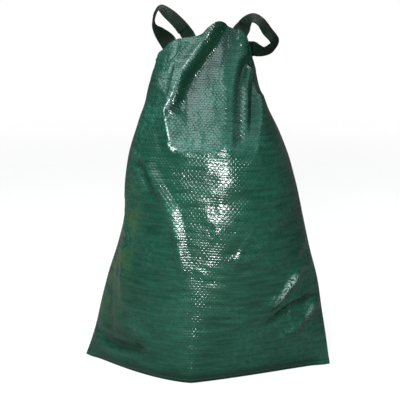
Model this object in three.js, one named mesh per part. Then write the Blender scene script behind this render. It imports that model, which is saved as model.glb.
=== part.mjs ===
// Tree watering bag: a soft double-walled water bag that stands on the ground round a trunk.
// Millimetres, +Z up, the front faces -Y. The origin is on the ground, under the middle of the bag.
import * as THREE from "three";

// Driving sizes
const BASE_HALF_WIDTH = 276; // half the width of the foot, corner to corner
const BASE_HALF_DEPTH = 168; // from the middle of the foot to its front edge
const CREST_HEIGHT = 752; // top of the front panel
const RIM_HALF_WIDTH = 108; // half the width of the open top
const WALL = 2; // cloth thickness, measured level
const SEAM_GAP = 0.5; // between two cloths that are joined, measured level
const ZIP_HALF_WIDTH = 16; // half the zip, both tapes together
const ZIP_CLEARANCE = 0.4; // between a tape and the cloth edge beside it
const ZIP_CHAIN_HALF_WIDTH = 4.5;
const ZIP_CHAIN_RISE = 1.6;
const SLIDER_HALF_WIDTH = 8;
const SLIDER_RISE = 5.5;
const VALLEY_HALF_WIDTH = 150; // the cleft between the two lobes at the back, at the foot
const BACK_BOW = 2.4; // how round the two lobes at the back are
const STRAP_WIDTH = 38;
const STRAP_THICKNESS = 2.2;
const STRAP_CLEARANCE = 0.9; // between a strap end and the cloth that it is sewn to
const STRAP_SEWN_BAND = 14; // how far over the edge a strap still follows the cloth

// Mesh density
const FRONT_COLUMNS = 42;
const BACK_COLUMNS = 12; // each side of the zip
const WALL_ROWS = 30;
const SLEEVE_ROWS = 6;
const STRAP_STEPS = 44;
const ZIP_ROWS = 14;

// Finishes
const CLOTH_GREEN = 0x1f6b50;
const LINING_GREEN = 0x1a5a45;
const STRAP_BLACK = 0x17251e;
const ZIP_BLACK = 0x1c1f1e;

// One row per height. up: share of the height of the edge above. left, right: shares of the foot's
// half width. front, back, middle, zip: shares of the foot's half depth; middle is where the two
// side corners lie, zip is the bottom of the cleft. peak: where the front comes nearest, share of
// the half width. leftBow, rightBow: 1 is a straight side, 2 is a round one. round: 1 gives
// pointed corners, 0.5 gives round ones.
const SECTIONS = [
  { up: 0.0, left: 1.0, right: 1.0, front: 1.0, back: 1.28, middle: 0.0, zip: 0.5,
    peak: -0.05, leftBow: 1.6, rightBow: 1.12, round: 1.0 },
  { up: 0.1, left: 0.921, right: 0.965, front: 1.03, back: 1.31, middle: 0.0, zip: 0.495,
    peak: -0.05, leftBow: 1.75, rightBow: 1.4, round: 0.92 },
  { up: 0.2, left: 0.864, right: 0.925, front: 1.045, back: 1.32, middle: 0.0, zip: 0.49,
    peak: -0.02, leftBow: 1.9, rightBow: 1.65, round: 0.82 },
  { up: 0.3, left: 0.8, right: 0.887, front: 1.045, back: 1.28, middle: 0.0, zip: 0.485,
    peak: 0.04, leftBow: 2.0, rightBow: 1.8, round: 0.75 },
  { up: 0.4, left: 0.722, right: 0.824, front: 1.03, back: 1.2, middle: 0.0, zip: 0.48,
    peak: 0.12, leftBow: 2.1, rightBow: 1.95, round: 0.7 },
  { up: 0.5, left: 0.664, right: 0.77, front: 0.995, back: 1.08, middle: 0.0, zip: 0.47,
    peak: 0.18, leftBow: 2.1, rightBow: 2.0, round: 0.64 },
  { up: 0.6, left: 0.659, right: 0.718, front: 0.93, back: 0.92, middle: 0.01, zip: 0.46,
    peak: 0.2, leftBow: 2.1, rightBow: 2.05, round: 0.6 },
  { up: 0.66, left: 0.643, right: 0.68, front: 0.86, back: 0.82, middle: 0.02, zip: 0.45,
    peak: 0.2, leftBow: 2.1, rightBow: 2.1, round: 0.58 },
  { up: 0.72, left: 0.617, right: 0.636, front: 0.73, back: 0.72, middle: 0.035, zip: 0.44,
    peak: 0.16, leftBow: 2.1, rightBow: 2.1, round: 0.56 },
  { up: 0.8, left: 0.558, right: 0.556, front: 0.54, back: 0.6, middle: 0.065, zip: 0.425,
    peak: 0.08, leftBow: 2.1, rightBow: 2.1, round: 0.54 },
  { up: 0.86, left: 0.507, right: 0.482, front: 0.395, back: 0.52, middle: 0.09, zip: 0.405,
    peak: 0.02, leftBow: 2.1, rightBow: 2.1, round: 0.53 },
  { up: 0.93, left: 0.47, right: 0.408, front: 0.22, back: 0.435, middle: 0.12, zip: 0.385,
    peak: -0.02, leftBow: 2.1, rightBow: 2.1, round: 0.52 },
  { up: 1.0, left: 0.417, right: 0.366, front: 0.045, back: 0.36, middle: 0.155, zip: 0.36,
    peak: -0.02, leftBow: 2.2, rightBow: 2.2, round: 0.5 },
];

// The top edge of the front. across: share of the half width. height: share of the crest height.
const FRONT_EDGE = [
  { across: -1.0, height: 0.877 },
  { across: -0.92, height: 0.908 },
  { across: -0.82, height: 0.921 },
  { across: -0.62, height: 0.946 },
  { across: -0.42, height: 0.954 },
  { across: -0.27, height: 0.956 },
  { across: -0.04, height: 0.964 },
  { across: 0.13, height: 0.984 },
  { across: 0.28, height: 0.9985 },
  { across: 0.41, height: 1.0 },
  { across: 0.53, height: 0.993 },
  { across: 0.65, height: 0.984 },
  { across: 0.81, height: 0.965 },
  { across: 0.86, height: 0.945 },
  { across: 0.93, height: 0.918 },
  { across: 1.0, height: 0.873 },
];
// The top edge of the back stands lower, so that the front hides it.
const BACK_EDGE_RISE = 0.06; // share of the crest height, above the side corners

// The trunk sleeve. up: share of the edge height. width: share of the rim's half width.
// front: how far it comes forward, share of the foot's half depth.
const SLEEVE = [
  { up: 0.0, width: 0.56, front: 0.17 },
  { up: 0.4, width: 0.57, front: 0.17 },
  { up: 0.7, width: 0.62, front: 0.155 },
  { up: 0.85, width: 0.74, front: 0.11 },
  { up: 1.0, width: 0.9, front: 0.02 },
];
const SLEEVE_OPENS_FROM = 0.72; // share of the height where it starts to widen to the rim

// Folds of the front. path: the places it runs through, each [across, up]: across as a share of the
// half width, up as a share of the edge height. rise: share of the foot's half depth, less than
// nothing for a valley. reach: half its width, share of the foot's half width. fade: share of its
// length over which each end dies away.
const FRONT_FOLDS = [
  // the long step that runs down and to the left from the crest: a valley under a ridge
  { path: [[0.36, 1.02], [0.04, 0.965], [-0.27, 0.9], [-0.5, 0.835]], rise: -0.06, reach: 0.07,
    fade: 0.1 },
  { path: [[0.02, 1.02], [-0.19, 0.97], [-0.43, 0.915], [-0.61, 0.83]], rise: 0.05, reach: 0.075,
    fade: 0.12 },
  // the edge of the shoulder, from the end of the step round to the right
  { path: [[-0.63, 0.84], [-0.5, 0.785], [-0.27, 0.72], [0.0, 0.69]], rise: 0.04, reach: 0.07,
    fade: 0.15 },
  { path: [[-0.08, 0.695], [0.21, 0.68], [0.42, 0.685]], rise: 0.03, reach: 0.06, fade: 0.25 },
  // the two valleys and the ridge between them, down from the right corner
  { path: [[0.98, 0.975], [0.73, 0.91], [0.54, 0.835], [0.47, 0.74], [0.46, 0.68]], rise: -0.065,
    reach: 0.075, fade: 0.12 },
  { path: [[0.97, 0.94], [0.74, 0.87], [0.65, 0.8], [0.6, 0.72]], rise: 0.035, reach: 0.06,
    fade: 0.2 },
  { path: [[0.97, 0.9], [0.84, 0.83], [0.75, 0.74], [0.68, 0.66]], rise: -0.03, reach: 0.07,
    fade: 0.2 },
  // soft upright pleats between them
  { path: [[-0.16, 0.86], [-0.08, 0.76], [0.04, 0.68]], rise: 0.02, reach: 0.055, fade: 0.3 },
  { path: [[-0.3, 0.86], [-0.2, 0.79], [-0.13, 0.71]], rise: -0.022, reach: 0.05, fade: 0.3 },
  { path: [[0.13, 0.87], [0.16, 0.79], [0.2, 0.7]], rise: 0.022, reach: 0.055, fade: 0.3 },
  // the dent beside the left edge and the valley and ridge that sweep down from it
  { path: [[-1.0, 0.71], [-0.8, 0.68], [-0.62, 0.6], [-0.42, 0.5]], rise: -0.05, reach: 0.08,
    fade: 0.2 },
  { path: [[-0.68, 0.66], [-0.44, 0.57], [-0.25, 0.5], [-0.16, 0.39], [0.03, 0.24]], rise: 0.05,
    reach: 0.09, fade: 0.15 },
  // the ridge down the middle of the belly and the small one right of it
  { path: [[0.14, 0.67], [0.33, 0.6], [0.28, 0.5], [0.2, 0.37], [0.13, 0.22]], rise: 0.045,
    reach: 0.12, fade: 0.2 },
  { path: [[0.06, 0.58], [0.04, 0.47], [0.04, 0.34]], rise: -0.03, reach: 0.08, fade: 0.3 },
  { path: [[0.6, 0.49], [0.46, 0.43], [0.33, 0.34]], rise: 0.025, reach: 0.055, fade: 0.3 },
  // the upright crease beside the left corner, and the hollow outside it
  { path: [[-0.97, 0.63], [-0.9, 0.44], [-0.72, 0.22], [-0.66, 0.13]], rise: 0.05, reach: 0.08,
    fade: 0.2 },
  { path: [[-0.99, 0.5], [-0.97, 0.34], [-0.86, 0.17], [-0.82, 0.1]], rise: -0.045, reach: 0.08,
    fade: 0.25 },
  // crumples over the right corner of the foot
  { path: [[0.99, 0.265], [0.73, 0.21], [0.48, 0.145]], rise: -0.06, reach: 0.065, fade: 0.15 },
  { path: [[0.86, 0.34], [0.7, 0.27], [0.5, 0.2]], rise: 0.05, reach: 0.065, fade: 0.2 },
  { path: [[0.99, 0.22], [0.82, 0.165], [0.6, 0.11]], rise: 0.045, reach: 0.075, fade: 0.2 },
  // the hollow over the left of the foot
  { path: [[-0.95, 0.1], [-0.7, 0.085], [-0.42, 0.1]], rise: -0.05, reach: 0.065, fade: 0.25 },
];

// Folds of the back, in the same columns
const BACK_FOLDS = [
  { path: [[0.5, 0.92], [0.62, 0.7], [0.6, 0.45]], rise: -0.045, reach: 0.09, fade: 0.25 },
  { path: [[-0.55, 0.92], [-0.7, 0.68], [-0.62, 0.42]], rise: -0.05, reach: 0.1, fade: 0.25 },
  { path: [[0.95, 0.3], [0.7, 0.2], [0.46, 0.12]], rise: -0.045, reach: 0.09, fade: 0.25 },
  { path: [[-0.92, 0.26], [-0.66, 0.17], [-0.42, 0.13]], rise: -0.04, reach: 0.09, fade: 0.25 },
];
const FOLD_STEPS = 14; // straight pieces along the path of a fold

// Middle lines of the two straps. across and depth: shares of the rim's half width. height: share
// of the crest height. turn: 0 shows the face of the strap to the front, 90 shows its edge.
const LEFT_STRAP = [
  { across: -0.5, depth: 0.1, height: 0.868, turn: 0 },
  { across: -0.62, depth: 0.1, height: 0.898, turn: 0 },
  { across: -0.78, depth: 0.1, height: 0.94, turn: 8 },
  { across: -0.96, depth: 0.06, height: 0.972, turn: 42 },
  { across: -1.06, depth: 0.02, height: 0.998, turn: 82 },
  { across: -1.02, depth: 0.02, height: 1.024, turn: 88 },
  { across: -0.92, depth: 0.03, height: 1.041, turn: 80 },
  { across: -0.74, depth: 0.03, height: 1.024, turn: 60 },
  { across: -0.54, depth: 0.02, height: 0.992, turn: 54 },
  { across: -0.36, depth: 0.03, height: 0.956, turn: 42 },
  { across: -0.2, depth: 0.05, height: 0.918, turn: 10 },
  { across: -0.1, depth: 0.06, height: 0.885, turn: 0 },
];
const RIGHT_STRAP = [
  { across: 0.38, depth: 0.06, height: 0.908, turn: 0 },
  { across: 0.5, depth: 0.06, height: 0.94, turn: 5 },
  { across: 0.68, depth: 0.09, height: 0.98, turn: 28 },
  { across: 0.79, depth: 0.09, height: 1.002, turn: 48 },
  { across: 0.92, depth: 0.06, height: 1.012, turn: 64 },
  { across: 1.06, depth: 0.04, height: 1.002, turn: 66 },
  { across: 1.19, depth: 0.04, height: 0.978, turn: 62 },
  { across: 1.28, depth: 0.07, height: 0.952, turn: 62 },
  { across: 1.24, depth: 0.14, height: 0.928, turn: 62 },
  { across: 1.08, depth: 0.2, height: 0.92, turn: 46 },
  { across: 0.88, depth: 0.2, height: 0.923, turn: 30 },
  { across: 0.7, depth: 0.14, height: 0.918, turn: 5 },
  { across: 0.5, depth: 0.1, height: 0.905, turn: 0 },
];

const smooth = (t) => {
  const c = Math.min(1, Math.max(0, t));
  return c * c * (3 - 2 * c);
};

/** Smooth value of one column of a table at a place along its first column. */
function read(table, key, column, at) {
  const last = table.length - 1;
  const x = Math.min(table[last][key], Math.max(table[0][key], at));
  let i = 0;
  while (i < last - 1 && table[i + 1][key] < x) {
    i += 1;
  }
  const slope = (a, b) => (table[b][column] - table[a][column]) / (table[b][key] - table[a][key]);
  const span = table[i + 1][key] - table[i][key];
  const into = i > 0 ? slope(i - 1, i + 1) : slope(i, i + 1);
  const out = i + 2 <= last ? slope(i, i + 2) : slope(i, i + 1);
  const t = (x - table[i][key]) / span;
  const a = table[i][column];
  const b = table[i + 1][column];
  const t2 = t * t;
  const t3 = t2 * t;
  return (2 * t3 - 3 * t2 + 1) * a + (t3 - 2 * t2 + t) * span * into
    + (3 * t2 - 2 * t3) * b + (t3 - t2) * span * out;
}

const section = (up, column) => read(SECTIONS, "up", column, up);

/** Height of the top edge above the ground at one place across. */
function edgeHeight(across, isBack) {
  if (!isBack) {
    return CREST_HEIGHT * read(FRONT_EDGE, "across", "height", across);
  }
  const corner = across < 0 ? FRONT_EDGE[0].height : FRONT_EDGE[FRONT_EDGE.length - 1].height;
  return CREST_HEIGHT * (corner + BACK_EDGE_RISE * (1 - across * across));
}

const halfWidth = (across, up) => BASE_HALF_WIDTH * section(up, across < 0 ? "left" : "right");

/** How far the front stands out at one place across: 1 at its peak, 0 at the corners. */
function bulge(across, up) {
  const peak = section(up, "peak");
  const side = across < peak ? "leftBow" : "rightBow";
  const reach = across < peak ? 1 + peak : 1 - peak;
  const s = Math.min(1, Math.abs(across - peak) / reach);
  return (1 - s ** section(up, side)) ** section(up, "round");
}

/** Depth of the bag at the bottom of the cleft where the zip runs. */
const zipDepth = (up) => BASE_HALF_DEPTH * section(up, "zip");

/** A point of the unfolded bag surface. */
function surfacePoint(across, up, isBack) {
  const x = across * halfWidth(across, up);
  const z = up * edgeHeight(across, isBack);
  const middle = BASE_HALF_DEPTH * section(up, "middle");
  if (!isBack) {
    const front = BASE_HALF_DEPTH * section(up, "front");
    return new THREE.Vector3(x, middle - (front + middle) * bulge(across, up), z);
  }
  const round = section(up, "round");
  const plain = (s) => middle
    + (BASE_HALF_DEPTH * section(up, "back") - middle) * (1 - Math.abs(s) ** BACK_BOW) ** round;
  const zipX = ZIP_HALF_WIDTH + ZIP_CLEARANCE;
  const lip = VALLEY_HALF_WIDTH * (1 - 0.5 * up);
  const into = 1 - smooth((Math.abs(x) - zipX) / (lip - zipX));
  const y = plain(across) + (zipDepth(up) - plain(zipX / halfWidth(across, up))) * into;
  return new THREE.Vector3(x, y, z);
}

/** A place on the panel laid flat, in millimetres. */
function flatPlace(across, up, isBack) {
  return new THREE.Vector2(across * halfWidth(across, up), up * edgeHeight(across, isBack));
}

/** The middle line of a fold on the flat panel. */
function foldLine(fold, isBack) {
  const places = fold.path.map(([across, up]) => flatPlace(across, up, isBack));
  return new THREE.SplineCurve(places).getPoints(FOLD_STEPS);
}

/** Nearest place on a fold's line: how far off it is, and how far along, 0 to 1. */
function nearestOn(line, at) {
  const nearest = { off: Infinity, along: 0 };
  for (let i = 0; i < line.length - 1; i += 1) {
    const step = line[i + 1].clone().sub(line[i]);
    const t = Math.min(1, Math.max(0, at.clone().sub(line[i]).dot(step) / step.lengthSq()));
    const off = line[i].clone().addScaledVector(step, t).distanceTo(at);
    if (off < nearest.off) {
      nearest.off = off;
      nearest.along = (i + t) / (line.length - 1);
    }
  }
  return nearest;
}

const frontLines = FRONT_FOLDS.map((fold) => ({ fold, line: foldLine(fold, false) }));
const backLines = BACK_FOLDS.map((fold) => ({ fold, line: foldLine(fold, true) }));

/** How far the folds lift the surface at one place. */
function foldLift(across, up, isBack) {
  const at = flatPlace(across, up, isBack);
  let lift = 0;
  for (const { fold, line } of isBack ? backLines : frontLines) {
    const { off, along } = nearestOn(line, at);
    const d = off / (fold.reach * BASE_HALF_WIDTH);
    if (d < 1) {
      const ends = smooth(along / fold.fade) * smooth((1 - along) / fold.fade);
      lift += fold.rise * BASE_HALF_DEPTH * (1 - d * d) ** 2 * ends;
    }
  }
  return lift * (1 - Math.abs(across) ** 10);
}

/** Places round the bag, from the zip by the right corner, the front and the left corner back. */
function columnsRound(finer) {
  const columns = [];
  const back = BACK_COLUMNS * finer;
  const front = FRONT_COLUMNS * finer;
  for (let i = 0; i < back; i += 1) {
    columns.push({ isBack: true, side: 1, t: i / back });
  }
  for (let i = 0; i <= front; i += 1) {
    columns.push({ isBack: false, side: 1, t: i / front });
  }
  for (let i = back - 1; i >= 0; i -= 1) {
    columns.push({ isBack: true, side: -1, t: i / back });
  }
  return columns;
}

/** Where a column stands across a cloth with the given half width. */
function acrossOf(column, width) {
  if (!column.isBack) {
    return Math.cos(Math.PI * column.t);
  }
  const zip = (ZIP_HALF_WIDTH + ZIP_CLEARANCE) / width;
  return column.side * (zip + (1 - zip) * Math.sin((Math.PI / 2) * column.t));
}

/** Outward directions of a grid of points, one list of rows per column. */
function gridNormals(grid) {
  return grid.map((rows, i) => rows.map((_, j) => {
    const before = grid[Math.max(0, i - 1)][j];
    const after = grid[Math.min(grid.length - 1, i + 1)][j];
    const below = rows[Math.max(0, j - 1)];
    const above = rows[Math.min(rows.length - 1, j + 1)];
    const around = after.clone().sub(before);
    return above.clone().sub(below).cross(around).normalize();
  }));
}

/** The same grid moved level, inward through the cloth; the zip edges move straight forward. */
function movedIn(grid, distance) {
  const normals = gridNormals(grid);
  return grid.map((rows, i) => rows.map((point, j) => {
    const isZipEdge = i === 0 || i === grid.length - 1;
    const level = isZipEdge
      ? new THREE.Vector3(0, 1, 0)
      : new THREE.Vector3(normals[i][j].x, normals[i][j].y, 0).normalize();
    return point.clone().addScaledVector(level, -distance);
  }));
}

/** For each cell of a grid, whether its falling diagonal lies nearer to the true middle. */
function cellDiagonals(grid, middles) {
  return grid.slice(0, -1).map((rows, i) => rows.slice(0, -1).map((point, j) => {
    const rising = point.clone().add(grid[i + 1][j + 1]).multiplyScalar(0.5);
    const falling = grid[i + 1][j].clone().add(rows[j + 1]).multiplyScalar(0.5);
    return falling.distanceTo(middles[i][j]) < rising.distanceTo(middles[i][j]);
  }));
}

/** A closed solid between two grids of the same shape. */
function sheetMesh(name, outside, inside, color, roughness, diagonals = []) {
  const columns = outside.length;
  const rows = outside[0].length;
  const positions = [];
  for (const grid of [outside, inside]) {
    for (const line of grid) {
      for (const p of line) {
        positions.push(p.x, p.y, p.z);
      }
    }
  }
  const out = (i, j) => i * rows + j;
  const inn = (i, j) => columns * rows + i * rows + j;
  const index = [];
  const quad = (a, b, c, d) => index.push(a, b, c, a, c, d);
  for (let i = 0; i < columns - 1; i += 1) {
    for (let j = 0; j < rows - 1; j += 1) {
      if (diagonals[i]?.[j]) {
        quad(out(i, j + 1), out(i + 1, j + 1), out(i + 1, j), out(i, j));
        quad(inn(i + 1, j), inn(i + 1, j + 1), inn(i, j + 1), inn(i, j));
      } else {
        quad(out(i, j), out(i, j + 1), out(i + 1, j + 1), out(i + 1, j));
        quad(inn(i, j), inn(i + 1, j), inn(i + 1, j + 1), inn(i, j + 1));
      }
    }
    quad(out(i, 0), out(i + 1, 0), inn(i + 1, 0), inn(i, 0));
    quad(out(i, rows - 1), inn(i, rows - 1), inn(i + 1, rows - 1), out(i + 1, rows - 1));
  }
  for (let j = 0; j < rows - 1; j += 1) {
    quad(out(0, j), inn(0, j), inn(0, j + 1), out(0, j + 1));
    quad(out(columns - 1, j), out(columns - 1, j + 1), inn(columns - 1, j + 1),
      inn(columns - 1, j));
  }
  const geometry = new THREE.BufferGeometry();
  geometry.setAttribute("position", new THREE.Float32BufferAttribute(positions, 3));
  geometry.setIndex(index);
  geometry.computeVertexNormals();
  const material = new THREE.MeshStandardMaterial({ color, roughness, side: THREE.DoubleSide });
  const mesh = new THREE.Mesh(geometry, material);
  mesh.name = name;
  return mesh;
}

/** Outer face of the outer wall, folds and all, at a chosen fineness. */
function outerFace(finer) {
  const grid = columnsRound(finer).map((column) => {
    const rows = [];
    for (let j = 0; j <= WALL_ROWS * finer; j += 1) {
      const t = j / (WALL_ROWS * finer);
      const up = t * (1.45 - 0.45 * t);
      const across = acrossOf(column, halfWidth(column.side, up));
      rows.push({ across, up, point: surfacePoint(across, up, column.isBack) });
    }
    return { column, rows };
  });
  const normals = gridNormals(grid.map((line) => line.rows.map((row) => row.point)));
  return grid.map((line, i) => line.rows.map((row, j) => {
    const lift = foldLift(row.across, row.up, line.column.isBack);
    const ground = j === 0 ? 0 : 1;
    const push = new THREE.Vector3(normals[i][j].x, normals[i][j].y, normals[i][j].z * ground);
    return row.point.clone().addScaledVector(push, lift);
  }));
}

/** The face of the trunk sleeve on the water side, from the foot to the rim. */
function sleeveFace(rim) {
  return columnsRound(1).map((column, i) => {
    const rows = [];
    for (let j = 0; j <= SLEEVE_ROWS; j += 1) {
      const up = (j / SLEEVE_ROWS) ** 0.85;
      const width = RIM_HALF_WIDTH * read(SLEEVE, "up", "width", up);
      const across = acrossOf(column, width);
      const front = -BASE_HALF_DEPTH * read(SLEEVE, "up", "front", up);
      const back = zipDepth(up) - WALL - SEAM_GAP;
      const zip = (ZIP_HALF_WIDTH + ZIP_CLEARANCE) / width;
      const reach = Math.sqrt(Math.max(0, 1 - across * across));
      const middle = (front + back) / 2;
      const y = column.isBack
        ? middle + (back - middle) * reach / Math.sqrt(1 - zip * zip)
        : middle + (front - middle) * reach;
      const opens = smooth((up - SLEEVE_OPENS_FROM) / (1 - SLEEVE_OPENS_FROM));
      const z = WALL + (rim[i].z - WALL) * up;
      const tube = new THREE.Vector3(across * width, y, z);
      rows.push(tube.lerp(new THREE.Vector3(rim[i].x, rim[i].y, z), opens));
    }
    return rows;
  });
}

/** Outer wall: the cloth round the water, from one edge of the zip to the other. */
function outerWall(face, diagonals) {
  return sheetMesh("outer_wall", face, movedIn(face, WALL), CLOTH_GREEN, 0.42, diagonals);
}

/** Inner wall: the sheet on the ground and the sleeve round the trunk, one cloth. */
function innerWall(waterSide, hollowSide, footEdge) {
  const upper = waterSide.map((rows, i) => {
    const edge = new THREE.Vector3(footEdge[i].x, footEdge[i].y, WALL);
    return [edge, ...rows.map((p) => p.clone())];
  });
  const lower = hollowSide.map((rows, i) => {
    const edge = new THREE.Vector3(footEdge[i].x, footEdge[i].y, 0);
    const foot = new THREE.Vector3(rows[0].x, rows[0].y, 0);
    return [edge, foot, ...rows.slice(1).map((p) => p.clone())];
  });
  return sheetMesh("inner_wall", upper, lower, LINING_GREEN, 0.5);
}

/** The zip that closes both walls at the back, as one strip with its slider at the top. */
function zipClosure() {
  const depthThrough = 2 * WALL + SEAM_GAP;
  const lines = [];
  for (let j = 0; j <= ZIP_ROWS; j += 1) {
    const up = j / ZIP_ROWS;
    const isSlider = j === ZIP_ROWS - 2 || j === ZIP_ROWS - 1;
    const chain = isSlider ? SLIDER_HALF_WIDTH : ZIP_CHAIN_HALF_WIDTH;
    const rise = isSlider ? SLIDER_RISE : ZIP_CHAIN_RISE;
    const y = zipDepth(up);
    const z = up * edgeHeight(0, true);
    const shape = [
      [-ZIP_HALF_WIDTH, 0],
      [-chain - 0.8, 0],
      [-chain, rise],
      [chain, rise],
      [chain + 0.8, 0],
      [ZIP_HALF_WIDTH, 0],
    ];
    lines.push(shape.map(([x, lift]) => new THREE.Vector3(x, y + lift, z)));
  }
  const outside = lines[0].map((_, i) => lines.map((line) => line[i]));
  const inside = outside.map((rows) => rows.map((p, j) => new THREE.Vector3(
    p.x,
    zipDepth(j / ZIP_ROWS) - depthThrough,
    p.z,
  )));
  return sheetMesh("zip_closure", outside, inside, ZIP_BLACK, 0.6);
}

/** Where one column of the hollow's face stands at a height. */
function placeAtHeight(rows, z) {
  let j = 1;
  while (j < rows.length - 1 && rows[j].z < z) {
    j += 1;
  }
  const t = Math.min(1, Math.max(0, (z - rows[j - 1].z) / (rows[j].z - rows[j - 1].z)));
  return rows[j - 1].clone().lerp(rows[j], t);
}

/** Depth of the hollow's front face behind one place of the front. */
function hollowFrontDepth(hollowSide, x, z) {
  const front = hollowSide.slice(BACK_COLUMNS, BACK_COLUMNS + FRONT_COLUMNS + 1);
  const places = front.map((rows) => placeAtHeight(rows, z));
  let i = 1;
  while (i < places.length - 1 && places[i].x > x) {
    i += 1;
  }
  const t = (x - places[i - 1].x) / (places[i].x - places[i - 1].x);
  return places[i - 1].y + (places[i].y - places[i - 1].y) * Math.min(1, Math.max(0, t));
}

/** How far the two sides of a strap move back or forward to lie on the cloth behind them. */
function sewnShifts(hollowSide, left, right) {
  const need = (t) => {
    const p = left.clone().lerp(right, t);
    const edge = edgeHeight(THREE.MathUtils.clamp(p.x / RIM_HALF_WIDTH, -1, 1), false);
    const hold = smooth((edge + STRAP_SEWN_BAND - p.z) / STRAP_SEWN_BAND);
    const gap = hollowFrontDepth(hollowSide, p.x, p.z) + STRAP_CLEARANCE - p.y;
    return { gap, hold };
  };
  const shiftOf = ({ gap, hold }) => (gap > 0 && hold > 0 ? gap : gap * hold);
  const shifts = [shiftOf(need(0)), shiftOf(need(1))];
  let extra = 0;
  for (const t of [0.2, 0.4, 0.6, 0.8]) {
    const { gap, hold } = need(t);
    const moved = shifts[0] + (shifts[1] - shifts[0]) * t;
    if (hold > 0) {
      extra = Math.max(extra, gap - moved);
    }
  }
  return shifts.map((shift) => shift + extra);
}

/** A strap of webbing swept along its middle line. */
function strap(name, stations, hollowSide) {
  const points = stations.map((s) => new THREE.Vector3(
    s.across * RIM_HALF_WIDTH,
    s.depth * RIM_HALF_WIDTH,
    s.height * CREST_HEIGHT,
  ));
  const curve = new THREE.CatmullRomCurve3(points, false, "centripetal");
  const turns = stations.map((s, i) => ({ at: i / (stations.length - 1), turn: s.turn }));
  const corners = [[], [], [], []];
  for (let k = 0; k <= STRAP_STEPS; k += 1) {
    const t = k / STRAP_STEPS;
    const middle = curve.getPoint(t);
    const tangent = curve.getTangent(t);
    const turn = THREE.MathUtils.degToRad(read(turns, "at", "turn", t));
    const side = new THREE.Vector3(-tangent.z, 0, tangent.x).normalize();
    const wide = side.multiplyScalar(Math.cos(turn));
    wide.addScaledVector(new THREE.Vector3(0, 1, 0), Math.sin(turn));
    wide.addScaledVector(tangent, -wide.dot(tangent)).normalize();
    const thick = tangent.clone().cross(wide).normalize();
    if (thick.y < 0) {
      thick.negate();
      wide.negate();
    }
    const w = STRAP_WIDTH / 2;
    const h = STRAP_THICKNESS / 2;
    const ring = [[-w, -h], [w, -h], [w, h], [-w, h]].map(([a, b]) => middle.clone()
      .addScaledVector(wide, a)
      .addScaledVector(thick, b));
    const [first, second] = sewnShifts(hollowSide, ring[0], ring[1]);
    const shifts = [first, second, second, first];
    ring.forEach((p, i) => corners[i].push(p.setY(p.y + shifts[i])));
  }
  const outside = [corners[1], corners[0]];
  const inside = [corners[2], corners[3]];
  return sheetMesh(name, outside, inside, STRAP_BLACK, 0.75);
}

const fineFace = outerFace(2);
const everyOther = (grid, first) => grid
  .filter((_, i) => i % 2 === first)
  .map((rows) => rows.filter((_, j) => j % 2 === first));
const face = everyOther(fineFace, 0);
const faceDiagonals = cellDiagonals(face, everyOther(fineFace, 1));
const innerOfOuter = movedIn(face, WALL + SEAM_GAP);
const rim = innerOfOuter.map((rows) => rows[rows.length - 1]);
const footEdge = innerOfOuter.map((rows) => rows[0]);
const waterSide = sleeveFace(rim);
const hollowSide = movedIn(waterSide, WALL);

const bag = new THREE.Group();
bag.name = "tree_watering_bag";
bag.add(outerWall(face, faceDiagonals));
bag.add(innerWall(waterSide, hollowSide, footEdge));
bag.add(zipClosure());
bag.add(strap("left_handle", LEFT_STRAP, hollowSide));
bag.add(strap("right_handle", RIGHT_STRAP, hollowSide));

export default bag;
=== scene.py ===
"""Tree watering bag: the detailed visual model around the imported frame.

A soft double-walled water bag of coated woven cloth. It stands on the ground round a trunk, closes
with a zip at the back and is lifted by two loops of webbing. Metres, +Z up, the front faces -Y.
"""
import logging
import math
from dataclasses import dataclass
from enum import Enum
from typing import Iterable, Sequence

import bpy
import numpy as np
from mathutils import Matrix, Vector


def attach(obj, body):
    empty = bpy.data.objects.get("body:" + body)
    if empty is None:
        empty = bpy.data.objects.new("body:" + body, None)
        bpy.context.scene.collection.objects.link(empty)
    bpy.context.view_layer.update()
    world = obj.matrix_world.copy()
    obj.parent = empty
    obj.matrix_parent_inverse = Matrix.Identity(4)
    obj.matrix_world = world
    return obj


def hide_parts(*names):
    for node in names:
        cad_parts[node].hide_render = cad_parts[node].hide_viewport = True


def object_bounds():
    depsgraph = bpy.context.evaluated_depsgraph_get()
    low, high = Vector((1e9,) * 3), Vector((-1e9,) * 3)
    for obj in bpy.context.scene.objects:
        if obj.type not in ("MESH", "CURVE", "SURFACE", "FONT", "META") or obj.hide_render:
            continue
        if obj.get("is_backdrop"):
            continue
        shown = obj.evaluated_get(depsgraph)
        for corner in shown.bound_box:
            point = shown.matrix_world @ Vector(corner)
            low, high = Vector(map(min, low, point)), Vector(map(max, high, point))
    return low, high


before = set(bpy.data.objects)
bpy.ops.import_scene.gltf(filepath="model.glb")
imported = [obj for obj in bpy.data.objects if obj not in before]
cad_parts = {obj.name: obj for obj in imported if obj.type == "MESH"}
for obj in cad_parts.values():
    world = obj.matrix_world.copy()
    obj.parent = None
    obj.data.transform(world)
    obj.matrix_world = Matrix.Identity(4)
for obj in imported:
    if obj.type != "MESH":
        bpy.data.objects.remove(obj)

LOG = logging.getLogger("tree_watering_bag")
CLOTH_MAP = "cloth"  # name of the map that holds places on the flat cloth, in metres
# The point values hold the lighter patches and painted highlight (ridge), painted shade (valley)
# and the brown stain (side).
WEAR_AND_PAINTED_LIGHT_FIELD = "wear_and_painted_light"  # name of the point values: ridge, valley, side

Array = np.ndarray
Piece, Material, Socket = bpy.types.Object, bpy.types.Material, bpy.types.NodeSocket
Pair, Triple, Row = tuple[float, float], tuple[float, float, float], tuple[float, ...]
Colour = tuple[float, float, float, float]
ACROSS, BACKWARD, DOWN = (1.0, 0.0, 0.0), (0.0, 1.0, 0.0), (0.0, 0.0, -1.0)


class Side(Enum):
    """Which side of the bag a part belongs to."""

    LEFT = -1
    RIGHT = 1


# ---- Small tools for shapes ----


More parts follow.
